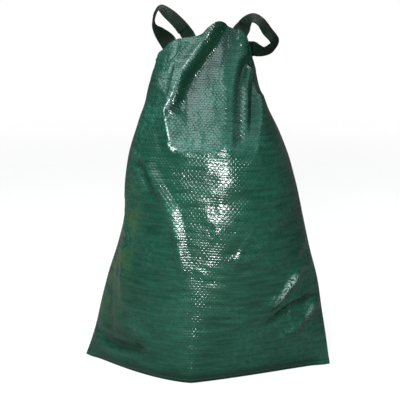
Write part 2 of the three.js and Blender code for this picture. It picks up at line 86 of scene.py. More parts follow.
def smooth(t: Array | float) -> Array:
    """Soft step from 0 to 1."""
    c = np.clip(t, 0.0, 1.0)
    return c * c * (3.0 - 2.0 * c)


def unit(v: Array) -> Array:
    """Vectors along the last axis, made one long."""
    return v / np.maximum(np.linalg.norm(v, axis=-1, keepdims=True), 1e-12)


@dataclass(frozen=True)
class Curve:
    """A smooth line through a few places: at holds the places, rising, and values the heights."""

    at: Row
    values: Row

    def __call__(self, x: Array | float) -> Array:
        """Read the line.

        Args:
            x: places, held inside the first and the last.

        Returns:
            The line's value at each place.
        """
        at = np.array(self.at)
        values = np.array(self.values)
        last = len(at) - 1
        x = np.clip(x, at[0], at[-1])
        i = np.clip(np.searchsorted(at, x, side="left") - 1, 0, last - 1)
        before = np.maximum(i - 1, 0)
        after = np.minimum(i + 2, last)
        span = at[i + 1] - at[i]
        into = (values[i + 1] - values[before]) / (at[i + 1] - at[before])
        out = (values[after] - values[i]) / (at[after] - at[i])
        t = (x - at[i]) / span
        t2, t3 = t * t, t * t * t
        return ((2 * t3 - 3 * t2 + 1) * values[i] + (t3 - 2 * t2 + t) * span * into
                + (3 * t2 - 2 * t3) * values[i + 1] + (t3 - t2) * span * out)


class Lattice:
    """Seeded smooth noise on a square lattice."""

    size = 256

    def __init__(self, seed: int) -> None:
        """Fill the table of random heights, the same for a seed every time."""
        self.table = np.random.RandomState(seed).uniform(-1.0, 1.0, (self.size, self.size))

    def __call__(self, u: Array, v: Array) -> Array:
        """Noise from -1 to 1 at places in lattice units.

        Args:
            u: places along the first direction.
            v: places along the second direction.

        Returns:
            One value for each place.
        """
        iu, iv = np.floor(u).astype(int), np.floor(v).astype(int)
        fu, fv = smooth(u - iu), smooth(v - iv)
        corner = lambda a, b: self.table[(iu + a) % self.size, (iv + b) % self.size]
        low = corner(0, 0) * (1 - fu) + corner(1, 0) * fu
        high = corner(0, 1) * (1 - fu) + corner(1, 1) * fu
        return low * (1 - fv) + high * fv


def flat_spline(places: Array, steps: int) -> Array:
    """Points of a smooth line on the flat cloth.

    Args:
        places: the places that it runs through, one row each.
        steps: straight pieces along it.

    Returns:
        Points, one row each.
    """
    last = len(places) - 1
    p = np.linspace(0.0, last, steps + 1)
    i = np.minimum(p.astype(int), last - 1)
    w = (p - i)[:, None]
    p0, p1 = places[np.maximum(i - 1, 0)], places[i]
    p2, p3 = places[i + 1], places[np.minimum(i + 2, last)]
    v0, v1 = (p2 - p0) * 0.5, (p3 - p1) * 0.5
    return ((2 * p1 - 2 * p2 + v0 + v1) * w**3 + (-3 * p1 + 3 * p2 - 2 * v0 - v1) * w**2
            + v0 * w + p1)


def space_spline(points: Array, t: Array) -> Array:
    """Points of a smooth line in space through stations of uneven spacing.

    Args:
        points: the stations, one row each.
        t: places along it, 0 to 1, even from station to station.

    Returns:
        Points, one row each.
    """
    last = len(points) - 1
    p = np.clip(t, 0.0, 1.0) * last
    i = np.minimum(p.astype(int), last - 1)
    w = (p - i)[:, None]
    grown = np.vstack([2 * points[0] - points[1], points, 2 * points[-1] - points[-2]])
    x0, x1, x2, x3 = (grown[i + k] for k in range(4))
    d0, d1, d2 = (np.linalg.norm(b - a, axis=1, keepdims=True) ** 0.5
                  for a, b in ((x0, x1), (x1, x2), (x2, x3)))
    t1 = ((x1 - x0) / d0 - (x2 - x0) / (d0 + d1) + (x2 - x1) / d1) * d1
    t2 = ((x2 - x1) / d1 - (x3 - x1) / (d1 + d2) + (x3 - x2) / d2) * d1
    return (x1 + t1 * w + (-3 * x1 + 3 * x2 - 2 * t1 - t2) * w**2
            + (2 * x1 - 2 * x2 + t1 + t2) * w**3)


def grid_normals(grid: Array) -> Array:
    """Outward directions of a grid of points, columns first, then rows.

    Args:
        grid: the points.

    Returns:
        One direction for each point.
    """
    around = np.empty_like(grid)
    around[1:-1] = grid[2:] - grid[:-2]
    around[0], around[-1] = grid[1] - grid[0], grid[-1] - grid[-2]
    rise = np.empty_like(grid)
    rise[:, 1:-1] = grid[:, 2:] - grid[:, :-2]
    rise[:, 0], rise[:, -1] = grid[:, 1] - grid[:, 0], grid[:, -1] - grid[:, -2]
    return unit(np.cross(rise, around))


def moved_in(grid: Array, distance: float) -> Array:
    """Move a grid level, inward through the cloth; the zip edges move straight forward.

    Args:
        grid: points, columns first, then rows.
        distance: how far, in metres.

    Returns:
        The moved grid.
    """
    level = grid_normals(grid)
    level[..., 2] = 0.0
    level = unit(level)
    level[0] = level[-1] = (0.0, 1.0, 0.0)
    return grid - level * distance


def run_lengths(points: Array, axis: int) -> Array:
    """Distance along one direction of a grid of points, from its first one."""
    steps = np.linalg.norm(np.diff(points, axis=axis), axis=-1)
    start = np.zeros_like(np.take(steps, [0], axis=axis))
    return np.concatenate([start, np.cumsum(steps, axis=axis)], axis=axis)


def cloth_places(grid: Array) -> Array:
    """Places on the cloth of a grid of points, from its first column and row, in metres."""
    return np.stack([run_lengths(grid, 0), run_lengths(grid, 1)], axis=-1)


def sampled(at: Array | float, run: Array, values: Array) -> Array:
    """Rows of a table read between its rows.

    Args:
        at: where to read, in the measure of the run.
        run: rising measure of the table's rows.
        values: the table, one row for each measure.

    Returns:
        The rows read, in the shape of the places, the columns last.
    """
    return np.stack([np.interp(at, run, column) for column in values.T], axis=-1)


# ---- The shape of the bag, as the solids have it ----


@dataclass(frozen=True)
class Fold:
    """A ridge or valley of the cloth.

    path: the places that it runs through, each (across, up), top first. rise: share of the foot's
    half depth, less than nothing for a valley. reach: half widths to the left and to the right of
    the path, shares of the foot's half width. fade: shares of its length over which the two ends
    die away. sharp: 0 is a round roll, 1 is a pressed crease.
    """

    path: tuple[Pair, ...]
    rise: float
    reach: Pair
    fade: Pair = (0.2, 0.2)
    sharp: float = 0.0


@dataclass(frozen=True)
class Spread:
    """A seeded spread of small creases over a part of the cloth.

    count: how many. across, up: the part of the cloth. length: shortest and longest, in metres.
    rise: highest, in metres. reach: half width, in metres. tilt: mean angle to the level and how
    far it strays, in degrees.
    """

    count: int
    across: Pair
    up: Pair
    length: Pair
    rise: float
    reach: Pair
    tilt: Pair
    seed: int


@dataclass(frozen=True)
class BagShape:
    """Named sizes and outlines of the bag, shared by every sub-assembly."""

    base_half_width: float = 0.276
    base_half_depth: float = 0.168
    crest_height: float = 0.752
    rim_half_width: float = 0.108
    wall: float = 0.002
    seam_gap: float = 0.0005
    zip_half_width: float = 0.016
    zip_clearance: float = 0.0004
    valley_half_width: float = 0.150
    valley_narrows: float = 0.5
    back_bow: float = 2.4
    back_edge_rise: float = 0.06
    sleeve_opens_from: float = 0.72

    levels: Row = (0.0, 0.1, 0.2, 0.3, 0.4, 0.5, 0.6, 0.66, 0.72, 0.8, 0.86, 0.93,
                                 1.0)
    left: Row = (1.0, 0.921, 0.864, 0.8, 0.722, 0.664, 0.659, 0.643, 0.617, 0.558,
                               0.507, 0.47, 0.417)
    right: Row = (1.0, 0.965, 0.925, 0.887, 0.824, 0.77, 0.718, 0.68, 0.636,
                                0.556, 0.482, 0.408, 0.366)
    front: Row = (1.0, 1.03, 1.045, 1.045, 1.03, 0.995, 0.93, 0.86, 0.73, 0.54,
                                0.395, 0.22, 0.045)
    back: Row = (1.28, 1.31, 1.32, 1.28, 1.2, 1.08, 0.92, 0.82, 0.72, 0.6, 0.52,
                               0.435, 0.36)
    middle: Row = (0.0, 0.0, 0.0, 0.0, 0.0, 0.0, 0.01, 0.02, 0.035, 0.065, 0.09,
                                 0.12, 0.155)
    cleft: Row = (0.5, 0.495, 0.49, 0.485, 0.48, 0.47, 0.46, 0.45, 0.44, 0.425,
                                0.405, 0.385, 0.36)
    peak: Row = (-0.05, -0.05, -0.02, 0.04, 0.12, 0.18, 0.2, 0.2, 0.16, 0.08, 0.02,
                               -0.02, -0.02)
    left_bow: Row = (1.6, 1.75, 1.9, 2.0, 2.1, 2.1, 2.1, 2.1, 2.1, 2.1, 2.1, 2.1,
                                   2.2)
    right_bow: Row = (1.12, 1.4, 1.65, 1.8, 1.95, 2.0, 2.05, 2.1, 2.1, 2.1, 2.1,
                                    2.1, 2.2)
    round: Row = (1.0, 0.92, 0.82, 0.75, 0.7, 0.64, 0.6, 0.58, 0.56, 0.54, 0.53,
                                0.52, 0.5)
    edge: Curve = Curve(
        (-1.0, -0.92, -0.82, -0.62, -0.42, -0.27, -0.04, 0.13, 0.28, 0.41, 0.53, 0.65, 0.81, 0.86,
         0.93, 1.0),
        (0.877, 0.908, 0.921, 0.946, 0.954, 0.956, 0.964, 0.984, 0.9985, 1.0, 0.993, 0.984, 0.965,
         0.945, 0.918, 0.873))
    sleeve_width: Curve = Curve((0.0, 0.4, 0.7, 0.85, 1.0), (0.56, 0.57, 0.62, 0.74, 0.9))
    sleeve_front: Curve = Curve((0.0, 0.4, 0.7, 0.85, 1.0), (0.17, 0.17, 0.155, 0.11, 0.02))

    def section(self, up: Array, column: str) -> Array:
        """Value of one named column of the sections at a height."""
        return Curve(self.levels, getattr(self, column))(up)

    def edge_height(self, across: Array, is_back: Array) -> Array:
        """Height of the top edge above the ground at one place across."""
        corner = np.where(across < 0, self.edge.values[0], self.edge.values[-1])
        behind = corner + self.back_edge_rise * (1.0 - across * across)
        return self.crest_height * np.where(is_back, behind, self.edge(across))

    def half_width(self, across: Array, up: Array) -> Array:
        """Half width of the bag on the side where a place lies."""
        shares = np.where(across < 0, self.section(up, "left"), self.section(up, "right"))
        return self.base_half_width * shares

    def bulge(self, across: Array, up: Array) -> Array:
        """How far the front stands out at one place across: 1 at its peak, 0 at the corners.

        Args:
            across: shares of the half width.
            up: shares of the height.

        Returns:
            Shares of the depth.
        """
        peak = self.section(up, "peak")
        is_left = across < peak
        bow = np.where(is_left, self.section(up, "left_bow"), self.section(up, "right_bow"))
        s = np.minimum(1.0, np.abs(across - peak) / np.where(is_left, 1.0 + peak, 1.0 - peak))
        return (1.0 - s**bow) ** self.section(up, "round")

    def zip_depth(self, up: Array) -> Array:
        """Depth of the bag at the bottom of the cleft where the zip runs."""
        return self.base_half_depth * self.section(up, "cleft")

    def surface(self, across: Array, up: Array, is_back: Array) -> Array:
        """Points of the unfolded bag.

        Args:
            across: shares of the half width.
            up: shares of the height of the edge above.
            is_back: true for places on the two lobes behind.

        Returns:
            Points, in the shape of the places.
        """
        wide = self.half_width(across, up)
        x = across * wide
        z = up * self.edge_height(across, is_back)
        middle = self.base_half_depth * self.section(up, "middle")
        ahead = self.base_half_depth * self.section(up, "front")
        y_front = middle - (ahead + middle) * self.bulge(across, up)
        behind = self.base_half_depth * self.section(up, "back") - middle
        power = self.section(up, "round")
        lobe = lambda s: (1.0 - np.minimum(1.0, np.abs(s)) ** self.back_bow) ** power
        plain = lambda s: middle + behind * lobe(s)
        zip_x = self.zip_half_width + self.zip_clearance
        lip = self.valley_half_width * (1.0 - self.valley_narrows * up)
        into = 1.0 - smooth((np.abs(x) - zip_x) / (lip - zip_x))
        y_back = plain(across) + (self.zip_depth(up) - plain(zip_x / wide)) * into
        return np.stack([x, np.where(is_back, y_back, y_front), z], axis=-1)

    def flat_place(self, across: Array, up: Array, is_back: Array) -> Array:
        """Places on the panel laid flat, in metres."""
        return np.stack([across * self.half_width(across, up),
                         up * self.edge_height(across, is_back)], axis=-1)


SHAPE = BagShape()


class Columns:
    """Places round the bag, from the zip by the right corner, the front and the left corner."""

    def __init__(self, back: int, front: int) -> None:
        """Lay out the columns.

        Args:
            back: spaces on each lobe behind.
            front: spaces across the front.
        """
        rising = np.arange(back) / back
        self.is_back = np.concatenate([np.ones(back, bool), np.zeros(front + 1, bool),
                                       np.ones(back, bool)])
        self.side = np.concatenate([np.ones(back + front + 1), -np.ones(back)])
        self.t = np.concatenate([rising, np.arange(front + 1) / front, rising[::-1]])
        self.count = len(self.t)

    def across(self, width: Array) -> Array:
        """Where the columns stand across a cloth.

        Args:
            width: half widths, one for each column, then any further axis.

        Returns:
            Shares of the half width, in the shape of the widths.
        """
        shape = (-1,) + (1,) * (np.ndim(width) - 1)
        t, side, is_back = (a.reshape(shape) for a in (self.t, self.side, self.is_back))
        zip_share = (SHAPE.zip_half_width + SHAPE.zip_clearance) / width
        behind = side * (zip_share + (1.0 - zip_share) * np.sin(math.pi / 2 * t))
        return np.where(is_back, behind, np.cos(math.pi * t))


# Lines that folds share: the foot of the long step and its crest.
STEP_FOOT = ((0.66, 1.02), (0.46, 1.0), (0.3, 0.972), (0.06, 0.933), (-0.18, 0.885),
             (-0.26, 0.832))
STEP_CREST = ((0.42, 1.03), (0.16, 0.993), (-0.1, 0.952), (-0.32, 0.903), (-0.395, 0.848),
              (-0.445, 0.818), (-0.505, 0.791))

# Folds of the front. The long step and the valleys follow the solids; the rest is finer.
FRONT_FOLDS = (
    # the long step that runs down and to the left from the crest
    Fold((*STEP_FOOT, (-0.31, 0.8), (-0.35, 0.786)), -0.032, (0.07, 0.18), (0.03, 0.2), 0.1),
    Fold((*STEP_FOOT, (-0.305, 0.805), (-0.33, 0.795)), -0.04, (0.08, 0.28), (0.03, 0.8)),
    Fold(STEP_CREST, 0.045, (0.3, 0.08), (0.03, 0.5), 0.1),
    Fold(STEP_CREST, 0.035, (0.09, 0.075), (0.03, 0.08), 0.1),
    Fold(((-0.3, 0.99), (-0.45, 0.955), (-0.47, 0.88), (-0.51, 0.805)), 0.014, (0.035, 0.03),
         (0.3, 0.1), 0.6),
    # the edge of the shoulder, from the end of the step round to the right
    Fold(((-0.53, 0.82), (-0.48, 0.777), (-0.42, 0.742), (-0.36, 0.712), (-0.28, 0.69),
          (-0.16, 0.676), (0.03, 0.668)), 0.045, (0.11, 0.17), (0.12, 0.3), 0.45),
    Fold(((-0.3, 0.7), (-0.1, 0.683), (0.12, 0.672), (0.31, 0.67), (0.44, 0.68)), 0.03,
         (0.12, 0.2), (0.25, 0.3), 0.3),
    # the valleys and ridges down from the right corner
    Fold(((0.93, 0.965), (0.73, 0.905), (0.6, 0.855), (0.535, 0.82), (0.49, 0.775),
          (0.47, 0.73), (0.45, 0.685), (0.36, 0.66)), -0.042, (0.075, 0.05), (0.06, 0.2), 0.3),
    Fold(((0.93, 0.92), (0.8, 0.868), (0.71, 0.82), (0.65, 0.77), (0.61, 0.73),
          (0.58, 0.69)), -0.035, (0.045, 0.06), (0.12, 0.35), 0.35),
    Fold(((0.92, 0.935), (0.77, 0.898), (0.65, 0.85), (0.6, 0.795), (0.555, 0.73)), 0.018,
         (0.035, 0.03), (0.55, 0.3), 0.6),
    Fold(((0.88, 0.86), (0.83, 0.83), (0.76, 0.77), (0.66, 0.7), (0.59, 0.645),
          (0.465, 0.605)), 0.025, (0.07, 0.1), (0.2, 0.3), 0.3),
    # soft upright pleats between them
    Fold(((-0.33, 0.86), (-0.285, 0.83), (-0.22, 0.74)), 0.008, (0.04, 0.035), (0.35, 0.35), 0.3),
    Fold(((-0.13, 0.84), (-0.05, 0.76), (0.04, 0.68)), 0.008, (0.04, 0.05), (0.35, 0.35), 0.3),
    Fold(((0.12, 0.88), (0.14, 0.83), (0.16, 0.73)), 0.007, (0.035, 0.04), (0.35, 0.35), 0.3),
    Fold(((0.34, 0.86), (0.33, 0.78), (0.29, 0.71)), 0.008, (0.04, 0.04), (0.35, 0.35), 0.3),
    # the pinch beside the left edge and what sweeps down from it
    Fold(((-0.96, 0.7), (-0.86, 0.69), (-0.76, 0.675), (-0.66, 0.65)), 0.022, (0.04, 0.04),
         (0.25, 0.4), 0.5),
    Fold(((-0.95, 0.67), (-0.84, 0.66), (-0.73, 0.645), (-0.62, 0.585), (-0.45, 0.51)), -0.035,
         (0.06, 0.08), (0.2, 0.3), 0.2),
    Fold(((-0.7, 0.66), (-0.63, 0.635), (-0.49, 0.58), (-0.39, 0.538), (-0.31, 0.503),
          (-0.25, 0.453), (-0.175, 0.38), (-0.12, 0.32), (-0.03, 0.23)), 0.045, (0.06, 0.09),
         (0.2, 0.3), 0.3),
    # the short ridges and hollows over the belly
    Fold(((0.57, 0.465), (0.46, 0.42), (0.385, 0.38), (0.31, 0.32)), 0.016, (0.035, 0.04),
         (0.35, 0.35), 0.5),
    Fold(((0.95, 0.52), (0.8, 0.45), (0.62, 0.4)), -0.018, (0.06, 0.06), (0.3, 0.3), 0.1),
    # the upright crease beside the left corner, and the hollow outside it
    Fold(((-0.97, 0.62), (-0.93, 0.5), (-0.87, 0.4), (-0.76, 0.27), (-0.7, 0.19)), 0.04,
         (0.07, 0.1), (0.25, 0.3), 0.35),
    Fold(((-0.99, 0.5), (-0.97, 0.34), (-0.87, 0.18), (-0.82, 0.1)), -0.035, (0.08, 0.06),
         (0.25, 0.25)),
    Fold(((-0.47, 0.29), (-0.475, 0.2)), 0.012, (0.03, 0.025), (0.35, 0.35), 0.6),
    # crumples over the right corner of the foot
    Fold(((0.9, 0.36), (0.835, 0.315), (0.7, 0.255), (0.53, 0.2)), 0.06, (0.06, 0.06),
         (0.25, 0.25), 0.4),
    Fold(((1.0, 0.26), (0.86, 0.225), (0.725, 0.2), (0.51, 0.15)), -0.075, (0.05, 0.06),
         (0.1, 0.25), 0.3),
    Fold(((0.99, 0.23), (0.93, 0.21), (0.8, 0.155), (0.6, 0.11)), 0.055, (0.05, 0.09),
         (0.15, 0.3), 0.4),
    Fold(((0.78, 0.23), (0.74, 0.18), (0.73, 0.13)), 0.014, (0.025, 0.03), (0.3, 0.3), 0.7),
    Fold(((0.99, 0.42), (0.9, 0.36), (0.8, 0.3)), -0.02, (0.06, 0.05), (0.2, 0.3), 0.3),
    # the hollow over the left of the foot
    Fold(((-0.95, 0.085), (-0.7, 0.07), (-0.42, 0.085)), -0.055, (0.045, 0.09), (0.25, 0.25)),
    Fold(((-0.9, 0.17), (-0.68, 0.15), (-0.46, 0.16)), 0.015, (0.06, 0.06), (0.3, 0.3), 0.2),
    Fold(((-0.32, 0.03), (-0.22, 0.02), (-0.12, 0.03)), -0.015, (0.03, 0.04), (0.3, 0.3)),
    # the foot turned under
    Fold(((-0.97, 0.0), (0.0, 0.0), (0.97, 0.0)), -0.05, (0.07, 0.07), (0.08, 0.08), 0.2),
)

# Lines of the front with painted highlight and painted sheen; the rise is how far it is.
PAINTED_HIGHLIGHT_LINES = (
    # painted highlight: thin lit lines along the crests of the long step and the shoulder
    Fold(((-0.3, 0.915), (-0.4, 0.87), (-0.44, 0.836), (-0.485, 0.808), (-0.505, 0.789)), 0.9,
         (0.009, 0.008), (0.5, 0.05), 0.6),
    Fold(((-0.505, 0.789), (-0.46, 0.77), (-0.42, 0.747), (-0.38, 0.722), (-0.34, 0.695)), 0.95,
         (0.009, 0.01), (0.04, 0.25), 0.6),
    Fold(((-0.39, 0.71), (-0.33, 0.692), (-0.24, 0.683)), 0.9, (0.02, 0.03), (0.3, 0.3), 0.1),
    Fold(((-0.02, 0.985), (-0.25, 0.93), (-0.36, 0.9)), 0.5, (0.012, 0.012), (0.3, 0.3), 0.4),
    # painted sheen: two lit facets over the right of the foot
    Fold(((0.84, 0.33), (0.7, 0.24), (0.58, 0.14)), 0.46, (0.1, 0.09), (0.25, 0.4)),
    Fold(((0.95, 0.24), (0.9, 0.17), (0.86, 0.08)), 0.58, (0.09, 0.1), (0.25, 0.3)),
    # painted sheen: the lighter panel at the upper left
    Fold(((-0.78, 0.98), (-0.83, 0.84), (-0.84, 0.7), (-0.8, 0.56)), 0.5, (0.22, 0.2),
         (0.2, 0.3)),
)
# Lines of the front that lie in their own shade; the rise is how far they do.
SHADED_LINES = (
    Fold(((0.54, 1.02), (0.38, 0.997), (0.23, 0.982), (-0.02, 0.942), (-0.25, 0.893),
          (-0.33, 0.84), (-0.38, 0.81), (-0.455, 0.79)), 1.0, (0.055, 0.075), (0.03, 0.08), 0.1),
    Fold(((0.96, 0.975), (0.78, 0.93), (0.62, 0.865), (0.54, 0.82), (0.49, 0.76), (0.46, 0.69)),
         1.0, (0.07, 0.06), (0.06, 0.4), 0.1),
    Fold(((0.97, 0.93), (0.76, 0.86), (0.67, 0.805), (0.595, 0.735), (0.56, 0.7)), 0.9,
         (0.035, 0.04), (0.2, 0.5), 0.1),
    Fold(((-0.94, 0.12), (-0.7, 0.115), (-0.42, 0.11)), 0.55, (0.05, 0.075), (0.2, 0.3), 0.1),
    Fold(((-0.96, 0.015), (0.0, 0.015), (0.96, 0.015)), 0.75, (0.07, 0.07), (0.1, 0.1), 0.1),
)

BACK_FOLDS = (
    Fold(((0.5, 0.92), (0.62, 0.7), (0.6, 0.45)), -0.045, (0.09, 0.09), (0.25, 0.25)),
    Fold(((-0.55, 0.92), (-0.7, 0.68), (-0.62, 0.42)), -0.05, (0.1, 0.1), (0.25, 0.25)),
    Fold(((0.95, 0.3), (0.7, 0.2), (0.46, 0.12)), -0.045, (0.09, 0.09), (0.25, 0.25)),
    Fold(((-0.92, 0.26), (-0.66, 0.17), (-0.42, 0.13)), -0.04, (0.09, 0.09), (0.25, 0.25)),
    Fold(((0.9, 0.82), (0.78, 0.62), (0.8, 0.4)), 0.03, (0.05, 0.05), (0.3, 0.3), 0.5),
    Fold(((-0.9, 0.85), (-0.82, 0.6), (-0.86, 0.36)), 0.03, (0.05, 0.05), (0.3, 0.3), 0.5),
    Fold(((0.36, 0.85), (0.42, 0.6), (0.38, 0.34)), 0.025, (0.04, 0.05), (0.3, 0.3), 0.4),
    Fold(((-0.36, 0.88), (-0.44, 0.58), (-0.4, 0.3)), 0.025, (0.05, 0.04), (0.3, 0.3), 0.4),
    Fold(((0.6, 0.52), (0.72, 0.42), (0.88, 0.38)), -0.02, (0.04, 0.04), (0.3, 0.3), 0.5),
    Fold(((-0.58, 0.5), (-0.74, 0.44), (-0.9, 0.36)), -0.02, (0.04, 0.04), (0.3, 0.3), 0.5),
)

CREASE_SPREADS = (
    Spread(46, (-0.9, 0.9), (0.08, 0.62), (0.04, 0.13), 0.0011, (0.004, 0.009), (12.0, 35.0), 11),
    Spread(34, (-0.8, 0.8), (0.66, 0.96), (0.03, 0.09), 0.0011, (0.003, 0.008), (70.0, 40.0), 12),
    Spread(26, (0.45, 0.98), (0.06, 0.36), (0.03, 0.09), 0.0013, (0.005, 0.011), (35.0, 50.0), 13),
    Spread(34, (-0.3, 0.95), (0.16, 0.62), (0.07, 0.16), 0.0024, (0.014, 0.03), (28.0, 30.0), 17),
    Spread(16, (-0.9, -0.3), (0.12, 0.6), (0.07, 0.16), 0.0022, (0.014, 0.03), (80.0, 40.0), 18),
    Spread(18, (-0.98, -0.6), (0.1, 0.6), (0.03, 0.1), 0.0018, (0.005, 0.011), (80.0, 30.0), 14),
)
BACK_CREASES = (
    Spread(40, (-0.95, -0.2), (0.06, 0.9), (0.04, 0.14), 0.0016, (0.005, 0.012), (60.0, 60.0), 15),
    Spread(40, (0.2, 0.95), (0.06, 0.9), (0.04, 0.14), 0.0016, (0.005, 0.012), (60.0, 60.0), 16),
)


CREASE_ROUND = 0.05  # how round the bottom of a pressed crease is, a share of its reach
FOLD_STEPS = 22  # straight pieces of a fold's line
CORNER_POWER = 10  # how late folds die away before the side corners
CREASE_STEPS = 7  # straight pieces of a small crease
CREASE_BEND = 0.35  # how far it strays from straight, in radians
CREASE_RISES = (0.35, 1.0)  # lowest and highest share of the spread's rise
CREASE_SHARPS = (0.4, 1.0)
CREASE_FADE = (0.4, 0.4)


def fold_profile(d: Array, sharp: float) -> Array:
    """Height of a fold across its width.

    Args:
        d: share of the reach, 0 at the middle line, 1 where the fold ends.
        sharp: 0 is a round roll, 1 is a pressed crease.

    Returns:
        1 on the line, down to 0 at the reach.
    """
    d = np.minimum(1.0, d)
    soft = np.sqrt(d * d + CREASE_ROUND**2) - CREASE_ROUND
    crease = (1.0 - np.minimum(1.0, soft)) ** 2
    return (1.0 - sharp) * (1.0 - d * d) ** 2 + sharp * crease


def lift_along(places: Array, line: Array, reach: Pair, fade: Pair,
               sharp: float) -> Array:
    """Share of a fold's rise at places on the flat cloth.

    Args:
        places: places in metres, the last axis holding the two directions.
        line: the fold's middle line, one row for each point.
        reach: half widths to the left and right of the line, in metres.
        fade: shares of the length over which the two ends die away.
        sharp: 0 is a round roll, 1 is a pressed crease.

    Returns:
        Shares from 0 to 1, in the shape of the places.
    """
    wide = max(reach)
    lo, hi = line.min(0) - wide, line.max(0) + wide
    near = np.all((places > lo) & (places < hi), axis=-1)
    out = np.zeros(places.shape[:-1])
    p = places[near]
    if not len(p):
        return out
    best = np.full(len(p), np.inf)
    along = np.zeros(len(p))
    hand = np.ones(len(p))
    for i in range(len(line) - 1):
        step = line[i + 1] - line[i]
        offset = p - line[i]
        t = np.clip(offset @ step / (step @ step), 0.0, 1.0)
        away = np.linalg.norm(offset - t[:, None] * step, axis=1)
        closer = away < best
        best[closer] = away[closer]
        along[closer] = (i + t[closer]) / (len(line) - 1)
        cross = step[0] * offset[:, 1] - step[1] * offset[:, 0]
        hand[closer] = cross[closer]
    width = np.where(hand > 0, reach[1], reach[0])
    ends = smooth(along / fade[0]) * smooth((1.0 - along) / fade[1])
    out[near] = fold_profile(best / width, sharp) * ends
    return out


def fold_lift(across: Array, up: Array, places: Array, folds: Iterable[Fold],
              is_back: bool) -> Array:
    """How far the named folds lift the surface.

    Args:
        across: shares of the half width.
        up: shares of the height of the edge above; not used.
        places: the same places on the flat cloth, in metres.
        folds: the folds of this part of the cloth.
        is_back: true for the lobes behind.

    Returns:
        Lifts in metres.
    """
    lift = np.zeros(across.shape)
    for fold in folds:
        path = np.array(fold.path)
        back = np.full(len(path), is_back)
        line = flat_spline(SHAPE.flat_place(path[:, 0], path[:, 1], back), FOLD_STEPS)
        reach = tuple(r * SHAPE.base_half_width for r in fold.reach)
        lift += fold.rise * SHAPE.base_half_depth * lift_along(places, line, reach, fold.fade,
                                                               fold.sharp)
    return lift * (1.0 - np.abs(across) ** CORNER_POWER)


def crease_lift(places: Array, spreads: Iterable[Spread], is_back: bool) -> Array:
    """How far the small creases lift the surface.

    Args:
        places: places on the flat cloth, in metres.
        spreads: the spreads of creases on this part.
        is_back: true for the lobes behind.

    Returns:
        Lifts in metres.
    """
    lift = np.zeros(places.shape[:-1])
    for spread in spreads:
        rng = np.random.RandomState(spread.seed)
        for _ in range(spread.count):
            across, up = rng.uniform(*spread.across), rng.uniform(*spread.up)
            start = SHAPE.flat_place(np.array(across), np.array(up), np.array(is_back))
            angle = math.radians(rng.normal(spread.tilt[0], spread.tilt[1]))
            length = rng.uniform(*spread.length)
            bend = rng.normal(0.0, CREASE_BEND)
            turns = angle + bend * np.linspace(-0.5, 0.5, CREASE_STEPS)
            steps = np.stack([np.cos(turns), np.sin(turns)], axis=1) * length / CREASE_STEPS
            line = start + np.vstack([np.zeros(2), np.cumsum(steps, axis=0)]) - steps.sum(0) / 2
            rise = spread.rise * rng.uniform(*CREASE_RISES) * rng.choice([-1.0, 1.0])
            reach = (rng.uniform(*spread.reach), rng.uniform(*spread.reach))
            lift += rise * lift_along(places, line, reach, CREASE_FADE,
                                      rng.uniform(*CREASE_SHARPS))
    return lift


# ---- Meshes ----


